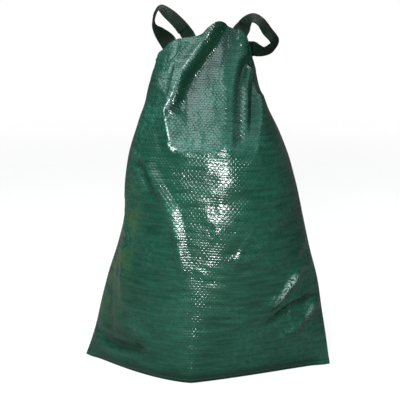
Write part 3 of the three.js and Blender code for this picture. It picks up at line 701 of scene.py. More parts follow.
class MeshKit:
    """Gathers points and faces, and makes one mesh object of them."""

    def __init__(self) -> None:
        """Start empty."""
        self.points: list[Array] = []
        self.faces: list[Array] = []
        self.maps: list[Array] = []
        self.count = 0

    def add_points(self, points: Array, places: Array | None = None) -> int:
        """Add points.

        Args:
            points: any shape with the three directions last.
            places: the same points' places on the flat cloth, the two directions last.

        Returns:
            The index of the first of them.
        """
        flat = np.asarray(points, float).reshape(-1, 3)
        first = self.count
        self.points.append(flat)
        self.maps.append(np.zeros((len(flat), 2)) if places is None
                         else np.asarray(places, float).reshape(-1, 2))
        self.count += len(flat)
        return first

    def add_faces(self, faces: Array) -> None:
        """Add faces of three or four corners, one row each."""
        self.faces.append(np.asarray(faces, int))

    def add_grid(self, points: Array, places: Array | None = None, flip: bool = False,
                 close: bool = False) -> Array:
        """Add a grid of points and its faces.

        Args:
            points: columns first, then rows, then the three directions.
            places: places on the flat cloth, in the same layout.
            flip: turn the faces over.
            close: join the last column to the first.

        Returns:
            The indices of the grid's points, columns first, then rows.
        """
        columns, rows = points.shape[:2]
        first = self.add_points(points, places)
        index = first + np.arange(columns * rows).reshape(columns, rows)
        here = index if close else index[:-1]
        after = np.roll(index, -1, axis=0)[:len(here)]
        order = [here[:, :-1], here[:, 1:], after[:, 1:], after[:, :-1]]
        self.add_faces(np.stack(order[::-1] if flip else order, axis=-1).reshape(-1, 4))
        return index

    def join(self, one: Array, other: Array, flip: bool = False) -> None:
        """Join two edges.

        Args:
            one: points of the first edge.
            other: points of the second edge, as many or with half as many spaces.
            flip: turn the faces over.
        """
        if len(one) == len(other):
            faces = np.stack([one[:-1], one[1:], other[1:], other[:-1]], axis=1)
        else:
            start, middle, end = one[:-1:2], one[1::2], one[2::2]
            faces = np.concatenate([np.stack([start, middle, other[:-1]], axis=1),
                                    np.stack([middle, other[1:], other[:-1]], axis=1),
                                    np.stack([middle, end, other[1:]], axis=1)])
        self.add_faces(faces[:, ::-1] if flip else faces)

    def close_sheet(self, face: Array, back: Array) -> None:
        """Join the four edges of the two faces of a sheet.

        Args:
            face: indices of the grid of one face.
            back: indices of the other face's grid, as many or with half as many spaces.
        """
        edges = lambda grid: (grid[:, 0], grid[:, -1], grid[0], grid[-1])
        for one, other, flip in zip(edges(face), edges(back), (False, True, True, False)):
            self.join(one, other, flip)

    def make(self, name: str, crease: float = 40.0) -> Piece:
        """Make the object.

        Args:
            name: the piece's name.
            crease: edges sharper than this stay sharp, in degrees.

        Returns:
            The object, linked to the scene.
        """
        points = np.concatenate(self.points)
        places = np.concatenate(self.maps)
        corners = np.concatenate([f.ravel() for f in self.faces])
        sizes = np.concatenate([np.full(len(f), f.shape[1]) for f in self.faces])
        mesh = bpy.data.meshes.new(name)
        mesh.vertices.add(len(points))
        mesh.vertices.foreach_set("co", points.astype(np.float32).ravel())
        mesh.loops.add(len(corners))
        mesh.loops.foreach_set("vertex_index", corners.astype(np.int32))
        mesh.polygons.add(len(sizes))
        starts = np.concatenate([[0], np.cumsum(sizes)[:-1]])
        mesh.polygons.foreach_set("loop_start", starts.astype(np.int32))
        mesh.polygons.foreach_set("loop_total", sizes.astype(np.int32))
        mesh.update(calc_edges=True)
        layer = mesh.uv_layers.new(name=CLOTH_MAP)
        layer.data.foreach_set("uv", places[corners].astype(np.float32).ravel())
        mesh.polygons.foreach_set("use_smooth", np.ones(len(sizes), bool))
        mesh.set_sharp_from_angle(angle=math.radians(crease))
        mesh.validate()
        obj = bpy.data.objects.new(name, mesh)
        bpy.context.scene.collection.objects.link(obj)
        return obj


def circle(count: int) -> Array:
    """Points of a circle of radius 1, one row each."""
    turn = np.linspace(0.0, 2 * math.pi, count + 1)[:-1]
    return np.stack([np.cos(turn), np.sin(turn)], axis=1)


def ring_points(path: Array, first: Array, second: Array, outline: Array) -> Array:
    """Points of an outline carried along a path.

    Args:
        path: points of the middle line.
        first: directions of the outline's first axis at each point.
        second: directions of its second axis.
        outline: the outline's points, in metres, going round once.

    Returns:
        Points, steps first, then round the outline.
    """
    return (path[:, None] + outline[None, :, 0:1] * first[:, None]
            + outline[None, :, 1:2] * second[:, None])


def tube(kit: MeshKit, rings: Array, outline: Array, along: Array, flip: bool = False) -> None:
    """Skin a run of rings and close its two ends.

    Args:
        kit: takes the mesh.
        rings: points of the rings, steps first.
        outline: the flat outline that the rings repeat, in metres.
        along: distance of each ring along the run.
        flip: turn the faces over.
    """
    places = np.stack(np.broadcast_arrays(run_lengths(outline, 0)[:, None], along[None, :]), -1)
    index = kit.add_grid(rings.transpose(1, 0, 2), places, flip, close=True)
    for step, turned in ((0, not flip), (-1, flip)):
        ring = index[:, step]
        centre = kit.add_points(rings[step].mean(0)[None, :])
        fan = np.stack([ring, np.roll(ring, -1), np.full(len(ring), centre)], axis=1)
        kit.add_faces(fan[:, ::-1] if turned else fan)


def swept(kit: MeshKit, path: Array, first: Array, second: Array, outline: Array) -> None:
    """Sweep a closed outline along a path, with both ends closed.

    Args:
        kit: takes the mesh.
        path: points of the middle line.
        first: directions of the outline's first axis at each point.
        second: directions of its second axis.
        outline: the outline's points, in metres, going round once.
    """
    tube(kit, ring_points(path, first, second, outline), outline, run_lengths(path, 0))


def rounded_outline(half_width: float, half_height: float, radius: float, steps: int) -> Array:
    """Outline of a flat bar with rounded corners.

    Args:
        half_width: along the first axis, in metres.
        half_height: along the second axis.
        radius: of the corners.
        steps: straight pieces round each corner.

    Returns:
        Points in metres, one row each, going round once.
    """
    points = []
    for cx, cy, start in ((1, 1, 0.0), (-1, 1, 90.0), (-1, -1, 180.0), (1, -1, 270.0)):
        for k in range(steps + 1):
            a = math.radians(start + 90.0 * k / steps)
            points.append((cx * (half_width - radius) + radius * math.cos(a),
                           cy * (half_height - radius) + radius * math.sin(a)))
    return np.array(points)


@dataclass(frozen=True)
class Stitch:
    """One kind of stitch.

    length, gap, radius: of a stitch, between two, and of the thread, in metres. shares: places
    along a stitch, with thick and stands, its thickness and height there in radii.
    """

    length: float
    gap: float
    radius: float
    shares: Row = (0.0, 0.18, 0.5, 0.82, 1.0)
    thick: Row = (0.35, 0.9, 1.0, 0.9, 0.35)
    stands: Row = (-0.9, 0.1, 0.35, 0.1, -0.9)
    sides: int = 6

    def row(self, kit: MeshKit, path: Array, normals: Array) -> None:
        """Lay stitches along a line.

        Args:
            kit: takes the mesh.
            path: points of the line, close together.
            normals: directions out of the cloth at those points.
        """
        run = run_lengths(path, 0)
        pitch = self.length + self.gap
        begin = np.arange(int(run[-1] / pitch)) * pitch + self.gap / 2
        at = begin[:, None] + np.array(self.shares) * self.length
        thick, stands = np.array(self.thick) * self.radius, np.array(self.stands) * self.radius
        centre, up = sampled(at, run, path), unit(sampled(at, run, normals))
        wide = unit(np.cross(unit(np.gradient(centre, axis=1)), up))
        centre = centre + up * stands[:, None]
        for places, middle, side, out in zip(at, centre, wide, up):
            rings = ring_points(middle, side * thick[:, None], out * thick[:, None],
                                circle(self.sides))
            around = np.arange(self.sides)[:, None] * self.radius
            cloth = np.stack(np.broadcast_arrays(around, places[None, :]), axis=-1)
            index = kit.add_grid(rings.transpose(1, 0, 2), cloth, close=True)
            for ends, flip in ((index[:, 0], True), (index[:, -1], False)):
                faces = np.array([ends[[0, 1, 2, 3]], ends[[0, 3, 4, 5]]])
                kit.add_faces(faces[:, ::-1] if flip else faces)


# ---- Node trees ----

class Tree:
    """Places and joins the nodes of one tree."""

    def __init__(self, tree: bpy.types.NodeTree) -> None:
        """Work on a tree."""
        self.tree = tree

    def add(self, kind: str, **settings: object) -> bpy.types.Node:
        """Add a node.

        Args:
            kind: Blender's name of the node.
            settings: properties of the node.

        Returns:
            The node.
        """
        node = self.tree.nodes.new(kind)
        for key, value in settings.items():
            setattr(node, key, value)
        return node

    def put(self, target: Socket, value: object) -> None:
        """Join a socket to another, or give it a value.

        Args:
            target: an input.
            value: an output or a plain value.
        """
        if isinstance(value, Socket):
            self.tree.links.new(value, target)
        else:
            target.default_value = value

    def math(self, operation: str, a: object, b: object = 0.5, clamp: bool = False) -> Socket:
        """One step of arithmetic.

        Args:
            operation: Blender's name of it.
            a: first socket or number.
            b: second socket or number.
            clamp: hold the result between 0 and 1.

        Returns:
            The result's socket.
        """
        node = self.add("ShaderNodeMath", operation=operation, use_clamp=clamp)
        self.put(node.inputs[0], a)
        if operation not in ("SINE", "COSINE", "ABSOLUTE", "FLOOR", "SQRT"):
            self.put(node.inputs[1], b)
        return node.outputs[0]

    def spread(self, value: object, low: object, high: object, to_low: float = 0.0,
               to_high: float = 1.0) -> Socket:
        """Soft map of a value from one range to another, held at both ends.

        Args:
            value: socket or number.
            low, high: the range that it comes from.
            to_low, to_high: the range that it goes to.

        Returns:
            The result's socket.
        """
        node = self.add("ShaderNodeMapRange", interpolation_type="SMOOTHSTEP", clamp=True)
        for socket, given in zip(node.inputs[:5], (value, low, high, to_low, to_high)):
            self.put(socket, given)
        return node.outputs[0]

    def weighted(self, *terms: tuple[object, float]) -> Socket:
        """Sum of values.

        Args:
            terms: each a socket and how often it counts.

        Returns:
            The sum's socket.
        """
        parts = [self.math("MULTIPLY", value, share) for value, share in terms]
        total = parts[0]
        for part in parts[1:]:
            total = self.math("ADD", total, part)
        return total

    def blend(self, share: object, first: object, second: object) -> Socket:
        """Mix of two colours.

        Args:
            share: of the second, 0 to 1.
            first, second: sockets or colours.

        Returns:
            The result's socket.
        """
        node = self.add("ShaderNodeMix", data_type="RGBA", clamp_factor=True)
        self.put(node.inputs["Factor"], share)
        self.put(node.inputs[6], first)
        self.put(node.inputs[7], second)
        return node.outputs[2]

    def stretched(self, vector: object, scale: Triple) -> Socket:
        """A place with its three directions scaled.

        Args:
            vector: the place.
            scale: one factor for each direction.

        Returns:
            The result's socket.
        """
        node = self.add("ShaderNodeMapping")
        self.put(node.inputs["Vector"], vector)
        node.inputs["Scale"].default_value = scale
        return node.outputs[0]

    def noise(self, vector: object, scale: object, detail: float = 3.0,
              rough: float = 0.55) -> Socket:
        """Soft noise, 0 to 1.

        Args:
            vector: where it is read.
            scale: waves per metre.
            detail: finer layers.
            rough: how strong they are.

        Returns:
            The noise's socket.
        """
        node = self.add("ShaderNodeTexNoise", noise_dimensions="3D")
        self.put(node.inputs["Vector"], vector)
        self.put(node.inputs["Scale"], scale)
        node.inputs["Detail"].default_value = detail
        node.inputs["Roughness"].default_value = rough
        return node.outputs["Fac"]

    def group(self, tree: bpy.types.NodeTree, **values: object) -> bpy.types.Node:
        """Place a shared effect and give its inputs their values.

        Args:
            tree: the effect.
            values: sockets or numbers, named as its inputs.

        Returns:
            The node.
        """
        node = self.add("ShaderNodeGroup", node_tree=tree)
        for key, value in values.items():
            self.put(node.inputs[key.replace("_", " ").title()], value)
        return node


class SharedEffect:
    """A node group that several finishes place, made once."""

    name = ""
    inputs: tuple[tuple[str, str, float], ...] = ()
    outputs: tuple[tuple[str, str], ...] = ()

    def __init__(self) -> None:
        """Make the group with its sockets and its nodes."""
        self.tree = bpy.data.node_groups.new(self.name, "ShaderNodeTree")
        for name, kind, value in self.inputs:
            socket = self.tree.interface.new_socket(name=name, in_out="INPUT", socket_type=kind)
            if kind == "NodeSocketFloat":
                socket.default_value = value
        for name, kind in self.outputs:
            self.tree.interface.new_socket(name=name, in_out="OUTPUT", socket_type=kind)
        nodes = Tree(self.tree)
        self.build(nodes, nodes.add("NodeGroupInput").outputs, nodes.add("NodeGroupOutput").inputs)

    def build(self, nodes: Tree, given: object, result: object) -> None:
        """Fill the group."""
        raise NotImplementedError


class WeaveEffect(SharedEffect):
    """Plain weave of flat tapes: their height, and a mask of the gaps between them."""

    name = "flat_tape_weave"
    inputs = (("Place", "NodeSocketVector", 0.0), ("Pitch", "NodeSocketFloat", 0.003),
              ("Stretch", "NodeSocketFloat", 1.0))
    outputs = (("Height", "NodeSocketFloat"), ("Gaps", "NodeSocketFloat"))
    tape_edge = 0.45
    shares = (0.6, 0.15, 0.25)  # of the crossings, the tapes' edges and the rows in the height

    def build(self, nodes: Tree, given: object, result: object) -> None:
        """Fill the group.

        Args:
            nodes: the group's tree.
            given: its inputs' sockets: Place in metres, Pitch of the tapes, Stretch of the rows.
            result: its outputs' sockets.
        """
        split = nodes.add("ShaderNodeSeparateXYZ")
        nodes.put(split.inputs[0], given["Place"])
        turn = nodes.math("DIVIDE", math.pi, given["Pitch"])
        u = nodes.math("SINE", nodes.math("MULTIPLY", split.outputs[0], turn))
        rows = nodes.math("MULTIPLY", split.outputs[1], given["Stretch"])
        v = nodes.math("SINE", nodes.math("MULTIPLY", rows, turn))
        over = nodes.math("MULTIPLY_ADD", nodes.math("MULTIPLY", u, v), 0.5)
        over.node.inputs[2].default_value = 0.5
        crown = nodes.math("ABSOLUTE", v)
        low = nodes.math("MINIMUM", nodes.math("ABSOLUTE", u), crown)
        edge = nodes.spread(low, 0.0, self.tape_edge)
        nodes.put(result["Height"], nodes.weighted(*zip((over, edge, crown), self.shares)))
        nodes.put(result["Gaps"], nodes.math("SUBTRACT", 1.0, edge))


class WearEffect(SharedEffect):
    """Scuffs and dust: patches that gather where a mask is high."""

    name = "scuffs_and_dust"
    inputs = (("Place", "NodeSocketVector", 0.0), ("Where", "NodeSocketFloat", 0.5),
              ("Size", "NodeSocketFloat", 40.0), ("Amount", "NodeSocketFloat", 0.5))
    outputs = (("Mask", "NodeSocketFloat"), ("Mottle", "NodeSocketFloat"))
    broad_scale, fine_scale = 0.22, 3.0  # times the Size
    broad_range, fine_range = (0.38, 0.68), (0.42, 0.66)
    fine_detail, fine_rough = 4.0, 0.65
    shares = (0.6, 0.4)  # of the broad and the fine noise in the mottle

    def build(self, nodes: Tree, given: object, result: object) -> None:
        """Fill the group.

        Args:
            nodes: the group's tree.
            given: its inputs' sockets: Place, Where it gathers, Size per metre, Amount.
            result: its outputs' sockets.
        """
        scaled = lambda factor: nodes.math("MULTIPLY", given["Size"], factor)
        broad = nodes.noise(given["Place"], scaled(self.broad_scale))
        fine = nodes.noise(given["Place"], scaled(self.fine_scale), self.fine_detail,
                           self.fine_rough)
        patch = nodes.math("MULTIPLY", nodes.spread(broad, *self.broad_range),
                           nodes.spread(fine, *self.fine_range))
        gathered = nodes.math("MULTIPLY", patch, given["Where"])
        nodes.put(result["Mask"], nodes.math("MULTIPLY", gathered, given["Amount"], clamp=True))
        nodes.put(result["Mottle"], nodes.weighted(*zip((broad, fine), self.shares)))


WEAVE = WeaveEffect()
WEAR = WearEffect()

Surface = tuple[Socket, Socket, Socket]


def srgb(red: int, green: int, blue: int) -> Colour:
    """Linear colour of a screen colour, each part 0 to 255."""
    part = lambda c: c / 255 / 12.92 if c <= 10 else ((c / 255 + 0.055) / 1.055) ** 2.4
    return (part(red), part(green), part(blue), 1.0)


class Finish:
    """A named material and how it is made."""

    name = "finish"
    specular = 0.4
    roughness: Pair = (0.4, 0.6)
    filled: Pair = (0.3, 0.7)  # the part of a noise that the roughness follows
    patches: Pair = (160.0, 0.7)  # size per metre and amount of the scuffs

    def build(self) -> Material:
        """Make the material.

        Returns:
            The material.
        """
        material = bpy.data.materials.new(self.name)
        material.use_nodes = True
        shader = material.node_tree.nodes["Principled BSDF"]
        shader.inputs["Specular IOR Level"].default_value = self.specular
        self.dress(Tree(material.node_tree), shader.inputs)
        return material

    def dress(self, nodes: Tree, shader: object) -> None:
        """Join the colour, the roughness and the relief to the shader.

        Args:
            nodes: the material's tree.
            shader: the inputs of its shader.
        """
        colour, cloud, height = self.surface(nodes)
        nodes.put(shader["Base Color"], colour)
        nodes.put(shader["Roughness"], nodes.spread(cloud, *self.filled, *self.roughness))
        bump = nodes.add("ShaderNodeBump")
        bump.inputs["Strength"].default_value = 1.0
        bump.inputs["Distance"].default_value = 1.0
        nodes.put(bump.inputs["Height"], height)
        nodes.put(shader["Normal"], bump.outputs["Normal"])

    def surface(self, nodes: Tree) -> Surface:
        """Colour, the noise that the roughness follows, and height of the relief in metres."""
        raise NotImplementedError

    def scuffs(self, nodes: Tree, place: Socket, where: object = 1.0) -> object:
        """Outputs of the shared scuffs, which gather where a mask is high."""
        return nodes.group(WEAR.tree, place=place, where=where, size=self.patches[0],
                           amount=self.patches[1]).outputs

    @staticmethod
    def cloth_place(nodes: Tree) -> Socket:
        """Places on the flat cloth, in metres."""
        return nodes.add("ShaderNodeUVMap", uv_map=CLOTH_MAP).outputs["UV"]


@dataclass(frozen=True)
class Woven(Finish):
    """A woven cloth in two tones, with faded scuffs.

    pitch, stretch: of the weave. tones: the part of the mottle that turns from deep to plain.
    gaps: how dark the gaps of the weave are. cloud: scale and detail of the gloss. fine: scales of
    the fine relief along, up and through the cloth, its detail, roughness and depth.
    """

    name: str = "woven"
    deep: Colour = srgb(10, 43, 32)
    plain: Colour = srgb(23, 63, 49)
    faded: Colour = srgb(38, 92, 78)
    roughness: Pair = (0.4, 0.6)
    specular: float = 0.4
    patches: Pair = (30.0, 0.5)
    pitch: float = 0.0033
    stretch: float = 1.0
    weave_depth: float = 0.0002
    tones: Pair = (0.34, 0.66)
    gaps: float = 0.5
    cloud: Pair = (26.0, 3.0)
    fine: tuple[Triple, float, float, float] = ((14.0, 110.0, 1.0), 3.0, 0.5, 0.0005)

    def weave(self, nodes: Tree, place: Socket) -> object:
        """Outputs of the shared weave."""
        return nodes.group(WEAVE.tree, place=place, pitch=self.pitch, stretch=self.stretch).outputs

    def toned(self, nodes: Tree, tone: Socket, scuffs: object) -> Socket:
        """Colour of the cloth in two tones with faded scuffs."""
        colour = nodes.blend(nodes.spread(tone, *self.tones), self.deep, self.plain)
        return nodes.blend(scuffs["Mask"], colour, self.faded)

    def gapped(self, nodes: Tree, weave: object, colour: Socket) -> Socket:
        """A colour with the weave's gaps darkened."""
        return nodes.blend(nodes.math("MULTIPLY", weave["Gaps"], self.gaps), colour, self.deep)

    def surface(self, nodes: Tree) -> Surface:
        """Work out the surface.

        Args:
            nodes: the material's tree.

        Returns:
            Its colour, the noise of its gloss and its height.
        """
        place = self.cloth_place(nodes)
        weave, scuffs = self.weave(nodes, place), self.scuffs(nodes, place)
        colour = self.gapped(nodes, weave, self.toned(nodes, scuffs["Mottle"], scuffs))
        scale, detail, rough, depth = self.fine
        relief = nodes.noise(nodes.stretched(place, scale), 1.0, detail, rough)
        height = nodes.weighted((relief, depth), (weave["Height"], self.weave_depth))
        return colour, nodes.noise(place, *self.cloud), height


@dataclass(frozen=True)
class Lining(Woven):
    """The same cloth on the side that the trunk sees, duller."""

    name: str = "lining_cloth"
    deep: Colour = srgb(12, 52, 38)
    plain: Colour = srgb(24, 78, 58)
    faded: Colour = srgb(58, 104, 84)
    roughness: Pair = (0.45, 0.6)


@dataclass(frozen=True)
class Webbing(Woven):
    """Thick dark strap with cross ribs and fine fuzz."""

    name: str = "webbing"
    deep: Colour = srgb(3, 14, 8)
    plain: Colour = srgb(8, 27, 18)
    faded: Colour = srgb(24, 50, 36)
    roughness: Pair = (0.55, 0.72)
    specular: float = 0.1
    patches: Pair = (90.0, 0.35)
    pitch: float = 0.0017
    stretch: float = 1.35
    weave_depth: float = 0.00035
    tones: Pair = (0.36, 0.64)
    gaps: float = 0.6
    cloud: Pair = (900.0, 2.0)
    fine: tuple[Triple, float, float, float] = ((900.0, 900.0, 900.0), 2.0, 0.55, 0.00012)


@dataclass(frozen=True)
class CoatedCloth(Woven):
    """Glossy cloth of woven flat tapes under a clear film.

    streaks: noise per metre along and up the cloth. stain, grain: noise per metre. The pairs give
    the part of a noise or mask that turns from nothing to all.
    """

    name: str = "coated_cloth"
    shade: Colour = srgb(3, 27, 16)
    brown: Colour = srgb(50, 70, 40)
    # Painted highlight: the light colour laid on the highlight lines.
    pressed: Colour = srgb(160, 178, 171)
    roughness: Pair = (0.18, 0.27)
    specular: float = 0.38
    patches: Pair = (34.0, 0.9)
    pitch: float = 0.0044
    stretch: float = 0.8
    weave_depth: float = 0.00058
    rib_depth: float = 0.00038
    grain_share: float = 0.6
    gaps: float = 0.45
    streaks: Triple = (14.0, 130.0, 1.0)
    shade_share: float = 0.92
    stain: float = 22.0
    stain_range: Pair = (0.38, 0.62)
    grain: float = 210.0
    grain_range: Pair = (0.42, 0.56)
    # Ridge values over which the painted highlight comes in.
    highlight_range: Pair = (1.1, 2.6)

    def surface(self, nodes: Tree) -> Surface:
        """Work out the surface from the point values of the mesh, which carry painted highlight and
        shade.

        Args:
            nodes: the material's tree.

        Returns:
            Its colour, the noise of its gloss and its height.
        """
        wear_and_painted_light = nodes.add("ShaderNodeSeparateXYZ")
        nodes.put(wear_and_painted_light.inputs[0], nodes.add("ShaderNodeAttribute", attribute_name=WEAR_AND_PAINTED_LIGHT_FIELD,
                                            attribute_type="GEOMETRY").outputs["Vector"])
        # ridge: raised folds and the painted highlight lines; valley: painted shade; side: the
        # brown stain.
        ridge, valley, side = wear_and_painted_light.outputs
        place = self.cloth_place(nodes)
        # The faded patches gather on the ridge values, so over the painted highlight lines they are
        # painted sheen.
        weave, scuffs = self.weave(nodes, place), self.scuffs(nodes, place, ridge)
        streaks = nodes.noise(nodes.stretched(place, self.streaks), 1.0, 3.0, 0.5)
        tone = nodes.weighted((scuffs["Mottle"], 0.5), (streaks, 0.5))
        colour = self.toned(nodes, tone, scuffs)
        # Painted shade: the valleys go dark.
        colour = nodes.blend(nodes.math("MULTIPLY", valley, self.shade_share), colour, self.shade)
        stain = nodes.spread(nodes.noise(place, self.stain, 4.0, 0.6), *self.stain_range)
        colour = nodes.blend(nodes.math("MULTIPLY", stain, side, clamp=True), colour, self.brown)
        colour = self.gapped(nodes, weave, colour)
        grain = nodes.noise(place, self.grain, 1.0, 0.5)
        # white: share of painted highlight, broken up by the grain.
        white = nodes.math("MULTIPLY", nodes.spread(ridge, *self.highlight_range),
                           nodes.spread(grain, *self.grain_range))
        height = nodes.weighted((streaks, self.rib_depth),
                                (grain, self.weave_depth * self.grain_share),
                                (weave["Height"], self.weave_depth))
        # The painted highlight goes on last.
        return nodes.blend(white, colour, self.pressed), streaks, height


@dataclass(frozen=True)
class ZipTape(Woven):
    """Fine dark cloth of the zip's tapes."""

    name: str = "zip_tape"
    deep: Colour = srgb(12, 17, 15)
    plain: Colour = srgb(26, 34, 30)
    roughness: Pair = (0.62, 0.8)
    specular: float = 0.3
    patches: Pair = (120.0, 0.3)
    pitch: float = 0.0007
    stretch: float = 0.8

    def surface(self, nodes: Tree) -> Surface:
        """Work out the surface.

        Args:
            nodes: the material's tree.

        Returns:
            Its colour, the noise of its gloss and its height.
        """
        place = self.cloth_place(nodes)
        weave, mottle = self.weave(nodes, place), self.scuffs(nodes, place)["Mottle"]
        colour = self.gapped(nodes, weave, nodes.blend(mottle, self.deep, self.plain))
        return colour, mottle, nodes.math("MULTIPLY", weave["Height"], self.weave_depth)


@dataclass(frozen=True)
class HardPart(Finish):
    """Moulded or painted small part, scuffed a little."""

    name: str = "zip_teeth"
    plain: Colour = srgb(22, 28, 25)
    worn: Colour = srgb(62, 70, 66)
    roughness: Pair = (0.3, 0.5)
    specular: float = 0.5
    relief: float = 0.00008

    def surface(self, nodes: Tree) -> Surface:
        """Work out the surface.

        Args:
            nodes: the material's tree.

        Returns:
            Its colour, the noise of its gloss and its height.
        """
        scuffs = self.scuffs(nodes, nodes.add("ShaderNodeNewGeometry").outputs["Position"])
        height = nodes.math("MULTIPLY", scuffs["Mottle"], self.relief)
        return nodes.blend(scuffs["Mask"], self.plain, self.worn), scuffs["Mottle"], height


@dataclass(frozen=True)
class Thread(Finish):
    """Twisted sewing thread."""

    name: str = "thread"
    deep: Colour = srgb(14, 52, 38)
    plain: Colour = srgb(40, 96, 76)
    roughness: Pair = (0.5, 0.65)
    patches: Pair = (200.0, 0.4)
    twist: float = 420.0
    relief: float = 0.0001

    def surface(self, nodes: Tree) -> Surface:
        """Work out the surface.

        Args:
            nodes: the material's tree.

        Returns:
            Its colour, the noise of its gloss and its height.
        """
        place = self.cloth_place(nodes)
        twist = nodes.add("ShaderNodeTexWave", wave_type="BANDS", bands_direction="DIAGONAL")
        nodes.put(twist.inputs["Vector"], place)
        twist.inputs["Scale"].default_value = self.twist
        turn = twist.outputs["Fac"]
        return (nodes.blend(turn, self.deep, self.plain), self.scuffs(nodes, place)["Mottle"],
                nodes.math("MULTIPLY", turn, self.relief))


@dataclass(frozen=True)
class PaleFloor(Finish):
    """Pale studio floor, which fades out at its rim.

    lift: how far it shines towards the camera by itself. rim: shares of the radius between which
    it fades.
    """

    name: str = "pale_floor"
    plain: Colour = (0.2, 0.2, 0.2, 1.0)
    soft: Colour = (0.18, 0.18, 0.18, 1.0)
    specular: float = 0.1
    dull: float = 0.9
    radius: float = 4.0
    rim: Pair = (0.35, 0.98)
    lift: float = 0.8

    def dress(self, nodes: Tree, shader: object) -> None:
        """Join the colour, the fading rim and the shine to the shader.

        Args:
            nodes: the material's tree.
            shader: the inputs of its shader.
        """
        shader["Roughness"].default_value = self.dull
        shader["Emission Strength"].default_value = 1.0
        place = nodes.add("ShaderNodeNewGeometry").outputs["Position"]
        cloud = nodes.noise(place, 3.0, 2.0)
        nodes.put(shader["Base Color"], nodes.blend(cloud, self.soft, self.plain))
        away = nodes.add("ShaderNodeVectorMath", operation="LENGTH")
        nodes.put(away.inputs[0], place)
        start, end = (share * self.radius for share in self.rim)
        nodes.put(shader["Alpha"], nodes.spread(away.outputs["Value"], start, end, 1.0, 0.0))
        direct = nodes.add("ShaderNodeLightPath").outputs["Is Camera Ray"]
        nodes.put(shader["Emission Color"], nodes.math("MULTIPLY", direct, self.lift))


# ---- Sub-assemblies ----


class Assembly:
    """Shared work of the sub-assemblies."""

    @staticmethod
    def dress(obj: Piece, material: Material, slot: str,
              *nodes: str) -> Piece:
        """Give a piece its material and body, and hide the solids that it stands for.

        Args:
            obj: the piece.
            material: its finish.
            slot: the record's material slot; not used.
            nodes: the solids that it stands for.

        Returns:
            The piece.
        """
        obj.data.materials.clear()
        obj.data.materials.append(material)
        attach(obj, "root")
        if nodes:
            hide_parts(*nodes)
        return obj


@dataclass(frozen=True)
class Waves:
    """Seeded soft waves of a cloth.

    size: of one wave along and up the cloth, in metres. rise: their height, in metres. pull: how
    many waves a warp of one moves them along and up.
    """

    seed: int
    size: Pair
    rise: float = 1.0
    pull: Pair = (0.0, 0.0)

    def __call__(self, places: Array, warp: Array | float = 0.0) -> Array:
        """Height of the waves at places on the cloth, moved by a warp."""
        u, v = (places[..., k] / self.size[k] + self.pull[k] * warp for k in (0, 1))
        return self.rise * Lattice(self.seed)(u, v)


def fading(distance: Array, end: float, soft: float) -> Array:
    """1 up to a distance, then softly down to 0."""
    return 1.0 - smooth((distance - end) / soft)


def groove(distance: Array, at: float, half_width: float) -> Array:
    """1 on a line at a distance, softly down to 0 beside it."""
    return np.exp(-((distance - at) / half_width) ** 2)


@dataclass(frozen=True)
class Patch:
    """A patch sewn under a handle.

    centre, half: its place and half size on the flat cloth, in metres. power: 2 is a disc, 4 a
    square with round corners. dip, lip: the groove of its stitches and the ridge outside it, each
    height, share of the half size and half width. mottle: unevenness inside the groove.
    """

    centre: Pair
    half: float
    power: float
    dip: Triple
    lip: Triple = (0.0, 1.0, 0.002)
    mottle: Waves = Waves(31, (0.0055, 0.0055), 0.0)
    inside: float = 0.82
    rise: float = 0.0011
    soft: float = 0.003

    def lift(self, flat: Array) -> Array:
        """Height of the patch.

        Args:
            flat: places on the flat cloth, in metres.

        Returns:
            Lifts in metres.
        """
        away = sum(np.abs(flat[..., k] - self.centre[k]) ** self.power for k in (0, 1))
        away = away ** (1.0 / self.power)
        lift = self.rise * fading(away, self.half, self.soft)
        for sign, (height, share, width) in ((-1.0, self.dip), (1.0, self.lip)):
            lift += sign * height * groove(away, share * self.half, width)
        return lift + self.mottle(flat) * (away < self.half * self.inside)


PATCHES = (
    Patch((-0.090, 0.698), 0.036, 2.0, (0.0010, 0.86, 0.0018), (0.0008, 0.97, 0.0022)),
    Patch((0.076, 0.720), 0.024, 4.0, (0.0009, 0.86, 0.0016),
          mottle=Waves(31, (0.0055, 0.0055), 0.0004)),
)
WARP = Waves(21, (0.09, 0.09))
RIBS = (Waves(22, (0.055, 0.0085), 0.0008, (0.4, 1.6)),
        Waves(23, (0.03, 0.005), 0.00048, (0.0, 1.0)))
UPRIGHT = Waves(24, (0.010, 0.06), 0.00018, (1.0, 0.0))
CLOUDS = (Waves(25, (0.035, 0.03), 0.0006), Waves(26, (0.016, 0.016), 0.00036))
SLEEVE_WAVES = (Waves(41, (0.022, 0.16), 0.0016), Waves(42, (0.03, 0.03), 0.0009))
EDGE_STITCH = Stitch(0.0030, 0.0012, 0.00042)
BOX_STITCH = Stitch(0.0026, 0.0009, 0.00035)


@dataclass(frozen=True)
class Skin:
    """The outer face of the outer wall, columns first, then rows.

    columns: the places round the bag. across, up, is_back: where each point lies. cloth: its place
    on the cloth, in metres. face: the point. lift: how far folds and creases move it. pressed:
    how far the painted highlight and sheen lines reach it. shaded: how far the painted shade lines
    reach it.
    """

    columns: Columns
    across: Array
    up: Array
    is_back: Array
    cloth: Array
    face: Array
    lift: Array
    pressed: Array
    shaded: Array


